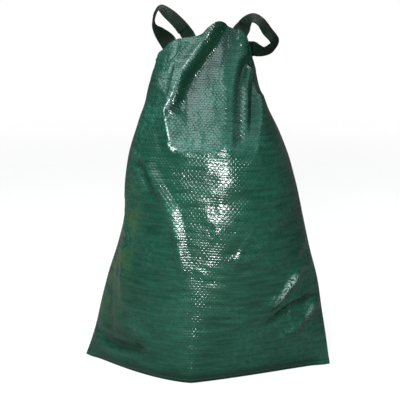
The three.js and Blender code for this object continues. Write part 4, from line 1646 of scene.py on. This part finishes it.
@dataclass
class OuterWall(Assembly):
    """The outer wall: the glossy cloth round the water, with its folds, hems and stitched rim.

    The sizes of the sewn parts and the calm bands beside edges are in metres. The stain's pairs
    are the share where it starts and the share over which it grows.
    """

    back_columns: int = 60
    front_columns: int = 280
    rows: int = 176
    foot_spacing: float = 1.45
    hem: float = 0.011
    hem_rise: float = 0.0007
    hem_soft: float = 0.002
    seam_share: float = 0.8
    seam_dip: float = 0.0006
    seam_width: float = 0.0016
    foot_seam: float = 0.010
    foot_rise: float = 0.0006
    foot_soft: float = 0.003
    foot_stitch: float = 0.0085
    edge_calm: float = 0.03
    rim_calm: float = 0.02
    zip_calm: Pair = (0.02, 0.03)
    full_ridge: float = 0.006
    # Lift of a hollow at which its painted shade is full.
    full_valley_shade: float = 0.010
    # How far the painted highlight lines raise the ridge values.
    highlight_gain: float = 2.0
    stain_across: Pair = (0.62, 0.3)
    stain_top: Pair = (0.66, 0.2)
    stain_foot: Pair = (0.1, 0.15)
    stain_behind: float = 0.6

    def reliefs(self, flat: Array, is_back: Array, edge: Array) -> Array:
        """Low forms of the sewn parts: hem, foot seam, and the two patches under the handles.

        Args:
            flat: places on the flat panel, in metres.
            is_back: true for the lobes behind.
            edge: height of the edge above each place.

        Returns:
            Lifts in metres.
        """
        below = edge - flat[..., 1]
        lift = self.hem_rise * fading(below, self.hem, self.hem_soft)
        lift -= self.seam_dip * groove(below, self.hem * self.seam_share, self.seam_width)
        lift += self.foot_rise * fading(flat[..., 1], self.foot_seam, self.foot_soft)
        return lift + np.where(is_back, 0.0, sum(patch.lift(flat) for patch in PATCHES))

    @staticmethod
    def crinkle(places: Array, up: Array) -> Array:
        """Small uneven waves of the cloth: ribs low down, upright ones above.

        Args:
            places: places on the cloth, in metres.
            up: shares of the height.

        Returns:
            Lifts in metres.
        """
        warp = WARP(places)
        low = fading(up, 0.6, 0.12)
        ribs = sum(waves(places, warp) for waves in RIBS)
        clouds = sum(waves(places) for waves in CLOUDS)
        return ribs * (0.25 + 0.75 * low) + UPRIGHT(places, warp) * (1.2 - low) + clouds

    def shape(self) -> Skin:
        """Work out the outer face.

        Returns:
            The face with its places and marks.
        """
        columns = Columns(self.back_columns, self.front_columns)
        t = np.linspace(0.0, 1.0, self.rows + 1)
        up = np.broadcast_to(t * (self.foot_spacing - (self.foot_spacing - 1.0) * t),
                             (columns.count, self.rows + 1))
        side = np.broadcast_to(columns.side[:, None], up.shape)
        is_back = np.broadcast_to(columns.is_back[:, None], up.shape)
        across = columns.across(SHAPE.half_width(side, up))
        plain = SHAPE.surface(across, up, is_back)
        flat = SHAPE.flat_place(across, up, is_back)
        lift, creases, pressed, shaded = (np.zeros(up.shape) for _ in range(4))
        front = ~columns.is_back
        for part, folds, spreads, behind in ((front, FRONT_FOLDS, CREASE_SPREADS, False),
                                             (~front, BACK_FOLDS, BACK_CREASES, True)):
            lift[part] = fold_lift(across[part], up[part], flat[part], folds, behind)
            creases[part] = crease_lift(flat[part], spreads, behind)
        # Shares of the painted highlight lines and of the shaded lines.
        for marks, lines in ((pressed, PAINTED_HIGHLIGHT_LINES), (shaded, SHADED_LINES)):
            marks[front] = fold_lift(across[front], up[front], flat[front], lines, False)
            marks /= SHAPE.base_half_depth
        around = run_lengths(plain, 0)
        cloth = np.stack([around - around[columns.count // 2][None, :], run_lengths(plain, 1)], -1)
        edge = SHAPE.edge_height(across, is_back)
        quiet = (smooth((1.0 - np.abs(across)) / self.edge_calm)
                 * smooth(flat[..., 1] / self.edge_calm)
                 * (0.2 + 0.8 * smooth((edge - flat[..., 1]) / self.rim_calm)))
        from_zip = (np.abs(flat[..., 0]) - self.zip_calm[0]) / self.zip_calm[1]
        fine = (self.crinkle(cloth, up) + creases) * quiet + self.reliefs(flat, is_back, edge)
        fine *= np.where(is_back, smooth(from_zip), 1.0)
        normals = grid_normals(plain)
        normals[:, 0, 2] = 0.0
        face = plain + normals * (lift + fine)[..., None]
        face[:, 0, 2] = 0.0
        return Skin(columns, across, up, is_back, cloth, face, lift + creases, pressed, shaded)

    def wear_and_painted_light(self, skin: Skin) -> Array:
        """Ridge, valley and side values for the finish, with painted highlight and painted shade in
        them.

        Args:
            skin: the outer face.

        Returns:
            The three values for each point of the face.
        """
        # ridge: raised folds, where lighter patches gather, plus the painted highlight lines.
        ridge = 0.2 + 0.8 * smooth(skin.lift / self.full_ridge) + self.highlight_gain * skin.pressed
        # valley: painted shade in the hollows of the folds and creases, and along the shaded lines.
        valley = np.maximum(smooth(-skin.lift / self.full_valley_shade), skin.shaded)
        stain = (np.where(skin.is_back, self.stain_behind, 1.0)
                 * smooth((-skin.across - self.stain_across[0]) / self.stain_across[1])
                 * smooth((self.stain_top[0] - skin.up) / self.stain_top[1])
                 * smooth((skin.up - self.stain_foot[0]) / self.stain_foot[1]))
        return np.stack([ridge, valley, stain], axis=-1)

    def build(self, skin: Skin, cloth: Material) -> Piece:
        """Make the piece.

        Args:
            skin: the outer face.
            cloth: the outer finish.

        Returns:
            The piece.
        """
        kit = MeshKit()
        outer = kit.add_grid(skin.face, skin.cloth)
        inner = kit.add_grid(moved_in(skin.face, SHAPE.wall)[::2, ::2], skin.cloth[::2, ::2],
                             flip=True)
        kit.close_sheet(outer, inner)
        obj = kit.make("outer_wall_cloth", 50.0)
        # These values carry painted highlight and painted shade as well as the stain.
        wear_and_painted_light = self.wear_and_painted_light(skin)
        values = np.concatenate([wear_and_painted_light.reshape(-1, 3), wear_and_painted_light[::2, ::2].reshape(-1, 3)])
        layer = obj.data.attributes.new(WEAR_AND_PAINTED_LIGHT_FIELD, "FLOAT_VECTOR", "POINT")
        layer.data.foreach_set("vector", values.astype(np.float32).ravel())
        return self.dress(obj, cloth, "cloth", "outer_wall")

    def stitches(self, skin: Skin, thread: Material) -> Piece:
        """Sew the hem and the foot.

        Args:
            skin: the outer face.
            thread: the thread's finish.

        Returns:
            The piece.
        """
        kit = MeshKit()
        height = run_lengths(skin.face, 1)
        seams = (height[:, -1] - self.hem * self.seam_share,
                 np.full(len(height), self.foot_stitch))
        for wanted in seams:
            line, out = (np.stack([sampled(w, h, column)
                                   for w, h, column in zip(wanted, height, grid)])
                         for grid in (skin.face, grid_normals(skin.face)))
            EDGE_STITCH.row(kit, line[2:-2], unit(out)[2:-2])
        return self.dress(kit.make("outer_wall_stitches", 60.0), thread, "cloth")


@dataclass
class InnerWall(Assembly):
    """The inner wall: the sheet on the ground and the sleeve round the trunk.

    The calm values are shares of the height, and of the lobes' width beside the zip.
    """

    back_columns: int = 36
    front_columns: int = 126
    rows: int = 70
    row_power: float = 0.85
    ground_rings: int = 12
    foot_calm: float = 0.1
    rim_calm: Pair = (0.84, 0.14)
    zip_calm: float = 0.35

    def sleeve(self, rim: Array, columns: Columns) -> Array:
        """The face of the trunk sleeve on the water side.

        Args:
            rim: the points of the top edge that it ends on, one for each column.
            columns: the columns round the bag.

        Returns:
            Points, columns first, then rows.
        """
        up = np.broadcast_to((np.arange(self.rows + 1) / self.rows) ** self.row_power,
                             (columns.count, self.rows + 1))
        width = SHAPE.rim_half_width * SHAPE.sleeve_width(up)
        across = columns.across(width)
        front = -SHAPE.base_half_depth * SHAPE.sleeve_front(up)
        back = SHAPE.zip_depth(up) - SHAPE.wall - SHAPE.seam_gap
        zip_share = (SHAPE.zip_half_width + SHAPE.zip_clearance) / width
        reach = np.sqrt(np.maximum(0.0, 1.0 - across**2))
        middle = (front + back) / 2
        behind = middle + (back - middle) * reach / np.sqrt(1.0 - zip_share**2)
        y = np.where(columns.is_back[:, None], behind, middle + (front - middle) * reach)
        opens = smooth((up - SHAPE.sleeve_opens_from) / (1.0 - SHAPE.sleeve_opens_from))[..., None]
        z = SHAPE.wall + (rim[:, None, 2] - SHAPE.wall) * up
        tube_points = np.stack([across * width, y, z], axis=-1)
        edge = np.stack(np.broadcast_arrays(rim[:, None, 0], rim[:, None, 1], z), axis=-1)
        grid = tube_points + (edge - tube_points) * opens
        places = cloth_places(grid)
        waves = sum(waves(places) for waves in SLEEVE_WAVES)
        calm = smooth(up / self.foot_calm) * smooth((self.rim_calm[0] - up) / self.rim_calm[1])
        by_zip = smooth(columns.t[:, None] / self.zip_calm)
        calm = calm * np.where(columns.is_back[:, None], by_zip, 1.0)
        return grid - grid_normals(grid) * (np.abs(waves) * calm)[..., None]

    def build(self, skin: Skin, lining: Material) -> Piece:
        """Make the piece, and keep the sleeve's hollow face for what is sewn to it.

        Args:
            skin: the outer face of the outer wall.
            lining: its finish.

        Returns:
            The piece.
        """
        columns = Columns(self.back_columns, self.front_columns)
        wall = moved_in(skin.face, SHAPE.wall + SHAPE.seam_gap)
        key = lambda c: np.where(c.is_back, np.where(c.side > 0, c.t, 4.0 - c.t), 1.0 + 2.0 * c.t)
        rim, foot = (sampled(key(columns), key(skin.columns), wall[:, row]) for row in (-1, 0))
        water = self.sleeve(rim, columns)
        self.hollow = moved_in(water, SHAPE.wall)
        level = np.array([1.0, 1.0, 0.0])
        share = (np.arange(self.ground_rings) / self.ground_rings)[None, :, None]
        around = foot[:, None] * level
        ground = [around + (face[:, :1] * level - around) * share for face in (water, self.hollow)]
        lower_sleeve = self.hollow.copy()
        lower_sleeve[:, 0, 2] = 0.0
        upper = np.concatenate([ground[0] + np.array([0.0, 0.0, SHAPE.wall]), water], axis=1)
        lower = np.concatenate([ground[1], lower_sleeve], axis=1)
        places = cloth_places(upper)
        kit = MeshKit()
        kit.close_sheet(kit.add_grid(upper, places), kit.add_grid(lower, places, flip=True))
        obj = kit.make("inner_wall_cloth", 50.0)
        return self.dress(obj, lining, "lining", "inner_wall")

    def front_depth(self, x: Array, z: Array) -> Array:
        """Depth of the hollow's front face behind places of the front.

        Args:
            x: places across, in metres.
            z: their heights.

        Returns:
            Depths, in the shape of the places.
        """
        front = self.hollow[self.back_columns:self.back_columns + self.front_columns + 1]
        result = np.empty(np.shape(x))
        for index in np.ndindex(np.shape(x)):
            at_height = np.array([[np.interp(z[index], c[:, 2], c[:, k]) for k in (0, 1)]
                                  for c in front])
            result[index] = np.interp(x[index], at_height[::-1, 0], at_height[::-1, 1])
        return result


@dataclass
class ZipClosure(Assembly):
    """The zip that closes both walls at the back: two tapes, teeth, stops, slider and pull.

    Sizes in metres; pairs are half sizes, and tapers are shares left at a block's top. The
    slider's tables are shares of its half height, half width and half depth.
    """

    rows: int = 170
    tape_start: float = 0.0006
    seam_line: float = 0.00005
    sunk: float = 0.0004
    pitch: float = 0.0028
    first_tooth: float = 0.007
    top_room: float = 0.016
    tooth: Pair = (0.0021, 0.00085)
    tooth_from_middle: float = 0.0016
    tooth_rise: float = 0.0016
    tooth_bevel: float = 0.0003
    tooth_taper: Pair = (0.82, 0.7)
    stop: Pair = (0.0042, 0.0028)
    stop_rise: float = 0.0020
    stop_bevel: float = 0.0004
    stop_taper: Pair = (0.85, 0.85)
    stop_from_ends: Pair = (0.0035, 0.006)
    slider_up: float = 0.895
    slider_size: Pair = (0.0078, 0.0019)
    slider_half_height: float = 0.010
    slider_stands: float = 0.0021
    slider_shares: Row = (-1.0, -0.9, -0.45, 0.1, 0.6, 0.92, 1.0)
    slider_widths: Row = (0.72, 0.8, 0.82, 0.92, 1.0, 0.98, 0.9)
    slider_depths: Row = (0.8, 1.0, 1.0, 1.0, 1.0, 1.0, 0.8)
    bridge: Pair = (0.0016, 0.0007)
    bridge_stands: float = 0.0036
    bridge_rise: float = 0.0030
    bridge_half_height: float = 0.0058
    tab: Pair = (0.0046, 0.0125)
    tab_power: Pair = (0.9, 1.0)
    tab_depths: Pair = (0.0052, 0.0064)
    tab_hangs: float = 0.0125
    hole: Pair = (0.0024, 0.0050)
    hole_up: float = 0.0052
    ring: Pair = (0.0022, 0.0046)
    ring_stands: float = 0.0052
    ring_hangs: float = 0.0035
    ring_wire: float = 0.0007

    def line(self, up: Array) -> Array:
        """Points of the middle line of the zip's outer face."""
        height = up * SHAPE.edge_height(np.zeros_like(up), np.ones_like(up, bool))
        return np.stack([np.zeros_like(up), SHAPE.zip_depth(up), height], axis=-1)

    def length(self) -> float:
        """Length of the zip, in metres."""
        return float(self.line(np.array([1.0]))[0, 2])

    def tapes(self, material: Material) -> Piece:
        """Make the two tapes.

        Args:
            material: their finish.

        Returns:
            The piece.
        """
        through = 2 * SHAPE.wall + SHAPE.seam_gap
        reach = SHAPE.zip_half_width + SHAPE.zip_clearance - self.seam_line
        line = self.line(np.linspace(0.0, 1.0, self.rows + 1))
        outline = rounded_outline((reach - self.tape_start) / 2, through / 2, 0.0002, 2)
        same = np.ones(len(line))
        kit = MeshKit()
        for side in Side:
            middle = line + np.array([side.value * (reach + self.tape_start) / 2,
                                      -through / 2, 0.0])
            swept(kit, middle, np.outer(same, ACROSS), np.outer(same, BACKWARD), outline[::-1])
        return self.dress(kit.make("zip_tapes", 35.0), material, "zip", "zip_closure")

    def block(self, kit: MeshKit, place: Pair, outline: Array,
              rise: Pair, taper: Pair) -> None:
        """Add a block that stands on the tapes.

        Args:
            kit: takes the mesh.
            place: across and up, in metres.
            outline: its outline, in metres.
            rise: how far it stands out, and how much of that is its bevel.
            taper: shares of the outline that are left at its top.
        """
        x, z = place
        y = float(SHAPE.zip_depth(np.array(z / self.length())))
        path = np.array([(x, y - self.sunk, z), (x, y + rise[0] - rise[1], z), (x, y + rise[0], z)])
        swept(kit, path, np.outer((1.0, 1.0, taper[0]), ACROSS),
              np.outer((1.0, 1.0, taper[1]), DOWN), outline[::-1])

    def teeth(self, material: Material) -> Piece:
        """Make the teeth and the two stops.

        Args:
            material: their finish.

        Returns:
            The piece.
        """
        kit = MeshKit()
        length = self.length()
        outline = rounded_outline(*self.tooth, 0.0003, 2)
        for k in range(int((length - self.top_room) / self.pitch)):
            for side in Side:
                z = self.first_tooth + (k + (0.5 if side is Side.RIGHT else 0.0)) * self.pitch
                if abs(z - self.slider_up * length) >= self.slider_half_height * 0.8:
                    self.block(kit, (side.value * self.tooth_from_middle, z), outline,
                               (self.tooth_rise, self.tooth_bevel), self.tooth_taper)
        outline = rounded_outline(*self.stop, 0.0008, 3)
        for z in (self.stop_from_ends[0], length - self.stop_from_ends[1]):
            self.block(kit, (0.0, z), outline, (self.stop_rise, self.stop_bevel), self.stop_taper)
        return self.dress(kit.make("zip_teeth", 35.0), material, "zip")

    def slider(self, material: Material) -> Piece:
        """Make the slider with its bridge and pull.

        Args:
            material: its finish.

        Returns:
            The piece.
        """
        kit = MeshKit()
        z = self.slider_up * self.length()
        y = float(SHAPE.zip_depth(np.array(self.slider_up)))
        shares = np.array(self.slider_shares)
        path = np.stack([0.0 * shares, y + self.slider_stands + 0.0 * shares,
                         z + shares * self.slider_half_height], axis=1)
        swept(kit, path, np.outer(self.slider_widths, ACROSS),
              np.outer(self.slider_depths, BACKWARD), rounded_outline(*self.slider_size, 0.0009, 3))
        bend = np.linspace(0.0, math.pi, 13)
        arch = np.stack([0.0 * bend, y + self.bridge_stands + self.bridge_rise * np.sin(bend),
                         z + self.bridge_half_height * np.cos(bend)], axis=1)
        across = np.tile(ACROSS, (len(arch), 1))
        swept(kit, arch, across, unit(np.cross(unit(np.gradient(arch, axis=0)), across)),
              rounded_outline(*self.bridge, 0.0003, 2))
        self.pull(kit, y, z)
        return self.dress(kit.make("zip_slider", 35.0), material, "zip")

    def pull(self, kit: MeshKit, y: float, z: float) -> None:
        """Add the pull: a ring through the bridge and a flat tab with a hole.

        Args:
            kit: takes the mesh.
            y: depth of the zip's face at the slider.
            z: height of the slider.
        """
        turn = circle(24)
        tab = np.sign(turn) * np.abs(turn) ** self.tab_power * self.tab
        hole = turn * self.hole + (0.0, self.hole_up)
        near, far = self.tab_depths
        order = ((tab, near), (tab, far), (hole, far), (hole, near), (tab, near))
        loops = [np.stack([flat[:, 0], np.full(len(turn), y + depth),
                           z - self.tab_hangs + flat[:, 1]], axis=1)
                 for flat, depth in order]
        kit.add_grid(np.stack(loops, axis=1), close=True)
        turn = circle(20)
        ring = np.stack([0.0 * turn[:, 0], y + self.ring_stands + self.ring[0] * turn[:, 0],
                         z - self.ring_hangs + self.ring[1] * turn[:, 1]], axis=1)
        ahead = unit(np.roll(ring, -1, 0) - np.roll(ring, 1, 0))
        across = np.tile(ACROSS, (len(ring), 1))
        rings = ring_points(ring, across, unit(np.cross(ahead, across)),
                            circle(8) * self.ring_wire)
        closed = np.concatenate([rings, rings[:1]], axis=0)
        kit.add_grid(closed.transpose(1, 0, 2), close=True)


@dataclass
class Handle(Assembly):
    """A loop of webbing sewn inside the front edge.

    stations: the middle line, each (across, depth, height, turn); across and depth are shares of
    the rim's half width, height of the crest height, turn in degrees. sewn: where the stitched box
    starts and ends, from the strap's end. box_margin: share of the width outside the box.
    """

    side: Side
    stations: tuple[tuple[float, float, float, float], ...]
    width: float = 0.038
    thickness: float = 0.0022
    corner: float = 0.0008
    corner_steps: int = 3
    flats: int = 7
    clearance: float = 0.0009
    sewn_band: float = 0.014
    sewn: Pair = (0.004, 0.026)
    box_margin: float = 0.12
    box_steps: int = 24
    steps: int = 230

    def frame_lines(self) -> tuple[Array, Array, Array]:
        """Middle line of the strap and its two directions.

        Returns:
            The points, the directions across the strap and the directions through it.
        """
        table = np.array(self.stations)
        points = table[:, :3] * (SHAPE.rim_half_width, SHAPE.rim_half_width, SHAPE.crest_height)
        t = np.linspace(0.0, 1.0, self.steps + 1)
        middle = space_spline(points, t)
        tangent = unit(space_spline(points, t + 1e-4) - space_spline(points, t - 1e-4))
        count = len(table)
        turn = np.radians(Curve(tuple(i / (count - 1) for i in range(count)),
                                tuple(table[:, 3]))(t))[:, None]
        side = unit(np.stack([-tangent[:, 2], 0 * t, tangent[:, 0]], axis=1))
        wide = side * np.cos(turn) + np.array(BACKWARD) * np.sin(turn)
        wide = unit(wide - tangent * np.sum(wide * tangent, axis=1, keepdims=True))
        thick = unit(np.cross(tangent, wide))
        flip = np.where(thick[:, 1:2] < 0, -1.0, 1.0)
        return middle, wide * flip, thick * flip

    def sewn_shift(self, inner: InnerWall, middle: Array, wide: Array, thick: Array) -> Array:
        """How far places across the strap move to lie on the cloth behind them.

        Args:
            inner: the inner wall.
            middle: middle line of the strap.
            wide: directions across it.
            thick: directions through it.

        Returns:
            Shifts along Y for the two edges of the strap, one row for each step.
        """
        share = np.linspace(-1.0, 1.0, 6)
        low = middle - thick * self.thickness / 2
        places = low[:, None] + wide[:, None] * (share[None, :, None] * self.width / 2)
        edge = SHAPE.edge_height(np.clip(places[..., 0] / SHAPE.rim_half_width, -1, 1),
                                 np.zeros(places.shape[:-1], bool))
        hold = smooth((edge + self.sewn_band - places[..., 2]) / self.sewn_band)
        near = hold.max(axis=1) > 0
        gap = np.zeros(hold.shape)
        gap[near] = (inner.front_depth(places[near][..., 0], places[near][..., 2])
                     + self.clearance - places[near][..., 1])
        moved = np.where((gap > 0) & (hold > 0), gap, gap * hold)
        ends = moved[:, [0, -1]]
        t = (share + 1) / 2
        line = ends[:, :1] * (1 - t) + ends[:, 1:] * t
        extra = np.max(np.where(hold > 0, gap - line, 0.0), axis=1, initial=0.0)
        return ends + extra[:, None]

    def outline(self) -> Array:
        """Outline of the strap with points along its two flat faces.

        Returns:
            Points in metres, going round once.
        """
        half, rise = self.width / 2, self.thickness / 2
        corners = rounded_outline(half, rise, self.corner, self.corner_steps)
        flats = np.linspace(-1, 1, self.flats + 2)[1:-1] * (half - self.corner)
        each = self.corner_steps + 1
        return np.vstack([corners[:each], [(x, rise) for x in flats[::-1]],
                          corners[each:3 * each], [(x, -rise) for x in flats],
                          corners[3 * each:]])

    def build(self, inner: InnerWall, webbing: Material,
              thread: Material) -> list[Piece]:
        """Make the strap and the stitches at its ends.

        Args:
            inner: the inner wall that it is sewn to.
            webbing: the strap's finish.
            thread: the stitches' finish.

        Returns:
            The pieces.
        """
        middle, wide, thick = self.frame_lines()
        shift = self.sewn_shift(inner, middle, wide, thick)
        outline = self.outline()
        share = (outline[:, 0] / self.width + 0.5)[None, :]
        rings = ring_points(middle, wide, thick, outline)
        rings[..., 1] += shift[:, :1] * (1 - share) + shift[:, 1:] * share
        along = run_lengths(middle, 0)
        kit = MeshKit()
        tube(kit, rings, outline, along, self.turned(rings))
        name = f"{self.side.name.lower()}_handle"
        strap = self.dress(kit.make(f"{name}_webbing", 40.0), webbing, "webbing", name)
        sewn = MeshKit()
        first = self.corner_steps + 1
        left, right = rings[:, first], rings[:, first + self.flats - 1]
        for near, far in (self.sewn, [along[-1] - place for place in self.sewn]):
            self.sew_end(sewn, (left, right, thick), along, near, far)
        stitches = self.dress(sewn.make(f"{name}_stitches", 60.0), thread, "webbing")
        return [strap, stitches]

    @staticmethod
    def turned(rings: Array) -> bool:
        """Whether the rings run so that the grid's faces would look inward.

        Args:
            rings: points of the rings, steps first.

        Returns:
            True where the faces have to be turned over.
        """
        around = rings[0, 1] - rings[0, 0]
        ahead = rings[1, 0] - rings[0, 0]
        out = rings[0, 0] - rings[0].mean(0)
        return float(np.dot(np.cross(ahead, around), out)) < 0

    def sew_end(self, kit: MeshKit, strap: tuple[Array, Array, Array], along: Array, near: float,
                far: float) -> None:
        """Add the crossed box of stitches at one end of the strap.

        Args:
            kit: takes the stitches.
            strap: the two edges of its upper face, and the directions through it.
            along: distance along the strap.
            near: distance of the box's side by the strap's end.
            far: distance of its other side.
        """
        low, high = self.box_margin, 1.0 - self.box_margin
        around = ((near, low), (near, high), (far, high), (far, low), (near, low), (far, high))
        crossing = ((near, high), (far, low))
        for run in (around, crossing):
            for (a, s), (b, t) in zip(run[:-1], run[1:]):
                steps = np.linspace(0.0, 1.0, self.box_steps)
                share = (s + (t - s) * steps)[:, None]
                left, right, out = (sampled(a + (b - a) * steps, along, v) for v in strap)
                BOX_STITCH.row(kit, left * (1 - share) + right * share, out)


LEFT_STATIONS = (
    (-0.5, 0.1, 0.868, 0.0), (-0.62, 0.1, 0.898, 0.0), (-0.78, 0.1, 0.94, 8.0),
    (-0.96, 0.06, 0.972, 42.0), (-1.06, 0.02, 0.996, 72.0), (-1.04, 0.02, 1.022, 76.0),
    (-0.95, 0.03, 1.04, 76.0), (-0.77, 0.03, 1.023, 60.0), (-0.54, 0.02, 0.992, 54.0),
    (-0.36, 0.03, 0.956, 42.0), (-0.2, 0.05, 0.918, 10.0), (-0.1, 0.06, 0.885, 0.0))
RIGHT_STATIONS = (
    (0.38, 0.06, 0.908, 0.0), (0.5, 0.06, 0.94, 5.0), (0.68, 0.09, 0.98, 28.0),
    (0.79, 0.09, 1.002, 48.0), (0.92, 0.06, 1.012, 64.0), (1.06, 0.04, 1.002, 66.0),
    (1.18, 0.04, 0.978, 62.0), (1.325, 0.07, 0.949, 66.0), (1.22, 0.14, 0.926, 62.0),
    (1.06, 0.2, 0.92, 46.0), (0.88, 0.2, 0.923, 30.0), (0.7, 0.14, 0.918, 5.0),
    (0.5, 0.1, 0.905, 0.0))


# ---- Studio ----


@dataclass(frozen=True)
class SoftLight:
    """One soft lamp: where it stands round the bag, its size and its power."""

    name: str
    azimuth: float
    elevation: float
    distance: float
    size: Pair
    power: float
    colour: Triple = (1.0, 1.0, 1.0)
    aim: Triple = (0.0, 0.0, 0.36)

    def place(self) -> Piece:
        """Make the lamp, aimed at the bag.

        Returns:
            The lamp.
        """
        data = bpy.data.lights.new(self.name, "AREA")
        data.shape = "RECTANGLE"
        data.size, data.size_y = self.size
        data.energy = self.power
        data.color = self.colour
        lamp = bpy.data.objects.new(self.name, data)
        lamp.visible_camera = False
        bpy.context.scene.collection.objects.link(lamp)
        stand_at(lamp, self.aim, self.azimuth, self.elevation, self.distance)
        return lamp


def stand_at(obj: Piece, aim: Sequence[float], azimuth: float, elevation: float,
             distance: float) -> None:
    """Place an object round a point and turn it to look there.

    Args:
        obj: a camera or a lamp.
        aim: the point, in metres.
        azimuth: 0 is in front of the bag, 90 is to its right, in degrees.
        elevation: above the level, in degrees.
        distance: in metres.
    """
    a, e = math.radians(azimuth), math.radians(elevation)
    out = Vector((math.sin(a) * math.cos(e), -math.cos(a) * math.cos(e), math.sin(e)))
    obj.location = Vector(aim) + out * distance
    obj.rotation_mode = "QUATERNION"
    obj.rotation_quaternion = (-out).to_track_quat("-Z", "Y")


@dataclass
class Studio:
    """Floor, lamps, sky and camera.

    sky, horizon: how bright the surroundings are in reflections, above and at horizon_height.
    seen: how bright the camera sees them.
    """

    azimuth: float = 7.0
    elevation: float = 12.0
    distance: float = 2.7
    aim: Triple = (-0.015, 0.0, 0.365)
    lens: float = 110.7
    floor_radius: float = 4.0
    floor_below: float = 0.0004
    sky: float = 0.1
    horizon: float = 0.12
    horizon_height: float = 0.12
    seen: float = 1.0
    lamps: tuple[SoftLight, ...] = (
        SoftLight("key", 0.0, 15.0, 2.3, (0.34, 0.34), 104.0, (0.95, 0.99, 1.0)),
        SoftLight("side", -58.0, 46.0, 2.0, (1.6, 0.9), 34.0, (0.8, 0.97, 1.0),
                  (0.0, 0.0, 0.5)),
        SoftLight("other", 84.0, 48.0, 2.0, (1.2, 0.9), 6.0, (0.7, 0.96, 1.0),
                  (0.0, 0.0, 0.5)),
        SoftLight("overhead", 12.0, 58.0, 1.9, (3.8, 1.2), 12.0, (0.62, 0.95, 1.0),
                  (0.0, 0.0, 0.5)),
        SoftLight("rear", 180.0, 60.0, 2.6, (2.0, 1.2), 60.0),
    )

    def camera(self) -> None:
        """Make the camera at the picture's angle."""
        data = bpy.data.cameras.new("camera")
        data.sensor_width = 36.0
        data.lens = self.lens
        data.clip_start, data.clip_end = 0.05, 60.0
        camera = bpy.data.objects.new("camera", data)
        bpy.context.scene.collection.objects.link(camera)
        stand_at(camera, self.aim, self.azimuth, self.elevation, self.distance)
        bpy.context.scene.camera = camera

    def build(self, floor_finish: Material) -> None:
        """Make the floor, the sky and the lamps.

        Args:
            floor_finish: the floor's material.
        """
        kit = MeshKit()
        radius = self.floor_radius * np.array([0.0005, 0.25, 0.5, 0.75, 1.0])
        across, ahead = (part[:, None] * radius[None, :] for part in circle(96).T)
        disc = np.stack(np.broadcast_arrays(across, ahead, -self.floor_below), axis=-1)
        kit.add_grid(disc, flip=True, close=True)
        floor = kit.make("floor")
        floor.data.materials.append(floor_finish)
        floor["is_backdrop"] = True
        self.air()
        for lamp in self.lamps:
            lamp.place()
        view = bpy.context.scene.view_settings
        view.view_transform = "Standard"
        view.look = "None"

    def air(self) -> None:
        """Make the surroundings: dim in reflections, white where the camera sees them."""
        world = bpy.data.worlds.new("surroundings")
        bpy.context.scene.world = world
        world.use_nodes = True
        nodes = Tree(world.node_tree)
        way = nodes.add("ShaderNodeSeparateXYZ")
        nodes.put(way.inputs[0], nodes.add("ShaderNodeTexCoord").outputs["Generated"])
        level = nodes.spread(way.outputs[2], 0.0, self.horizon_height, self.horizon, self.sky)
        direct = nodes.add("ShaderNodeLightPath").outputs["Is Camera Ray"]
        mix = nodes.add("ShaderNodeMix", data_type="FLOAT")
        nodes.put(mix.inputs["Factor"], direct)
        nodes.put(mix.inputs[2], level)
        mix.inputs[3].default_value = self.seen
        back = world.node_tree.nodes["Background"]
        back.inputs["Color"].default_value = (1.0, 1.0, 1.0, 1.0)
        nodes.put(back.inputs["Strength"], mix.outputs[0])


def main() -> None:
    """Build the studio and the bag, and report each piece."""
    logging.basicConfig(level=logging.INFO, format="%(name)s: %(message)s")
    cad_box = [list(corner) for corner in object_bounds()]
    studio = Studio()
    studio.camera()
    studio.build(PaleFloor().build())

    thread = Thread().build()
    outer = OuterWall()
    skin = outer.shape()
    wall = outer.build(skin, CoatedCloth().build())
    stitches = outer.stitches(skin, thread)
    inner = InnerWall()
    lining = inner.build(skin, Lining().build())
    closure = ZipClosure()
    made = [wall, stitches, lining, closure.tapes(ZipTape().build()),
            closure.teeth(HardPart().build()),
            closure.slider(HardPart("zip_slider", srgb(30, 34, 32), srgb(110, 114, 112)).build())]
    webbing = Webbing().build()
    for side, stations in ((Side.LEFT, LEFT_STATIONS), (Side.RIGHT, RIGHT_STATIONS)):
        made += Handle(side, stations).build(inner, webbing, thread)
    for piece in made:
        LOG.info("%s: %d faces", piece.name, len(piece.data.polygons))

    seen_box = [list(corner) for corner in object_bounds()]


if __name__ == "__main__":
    main()
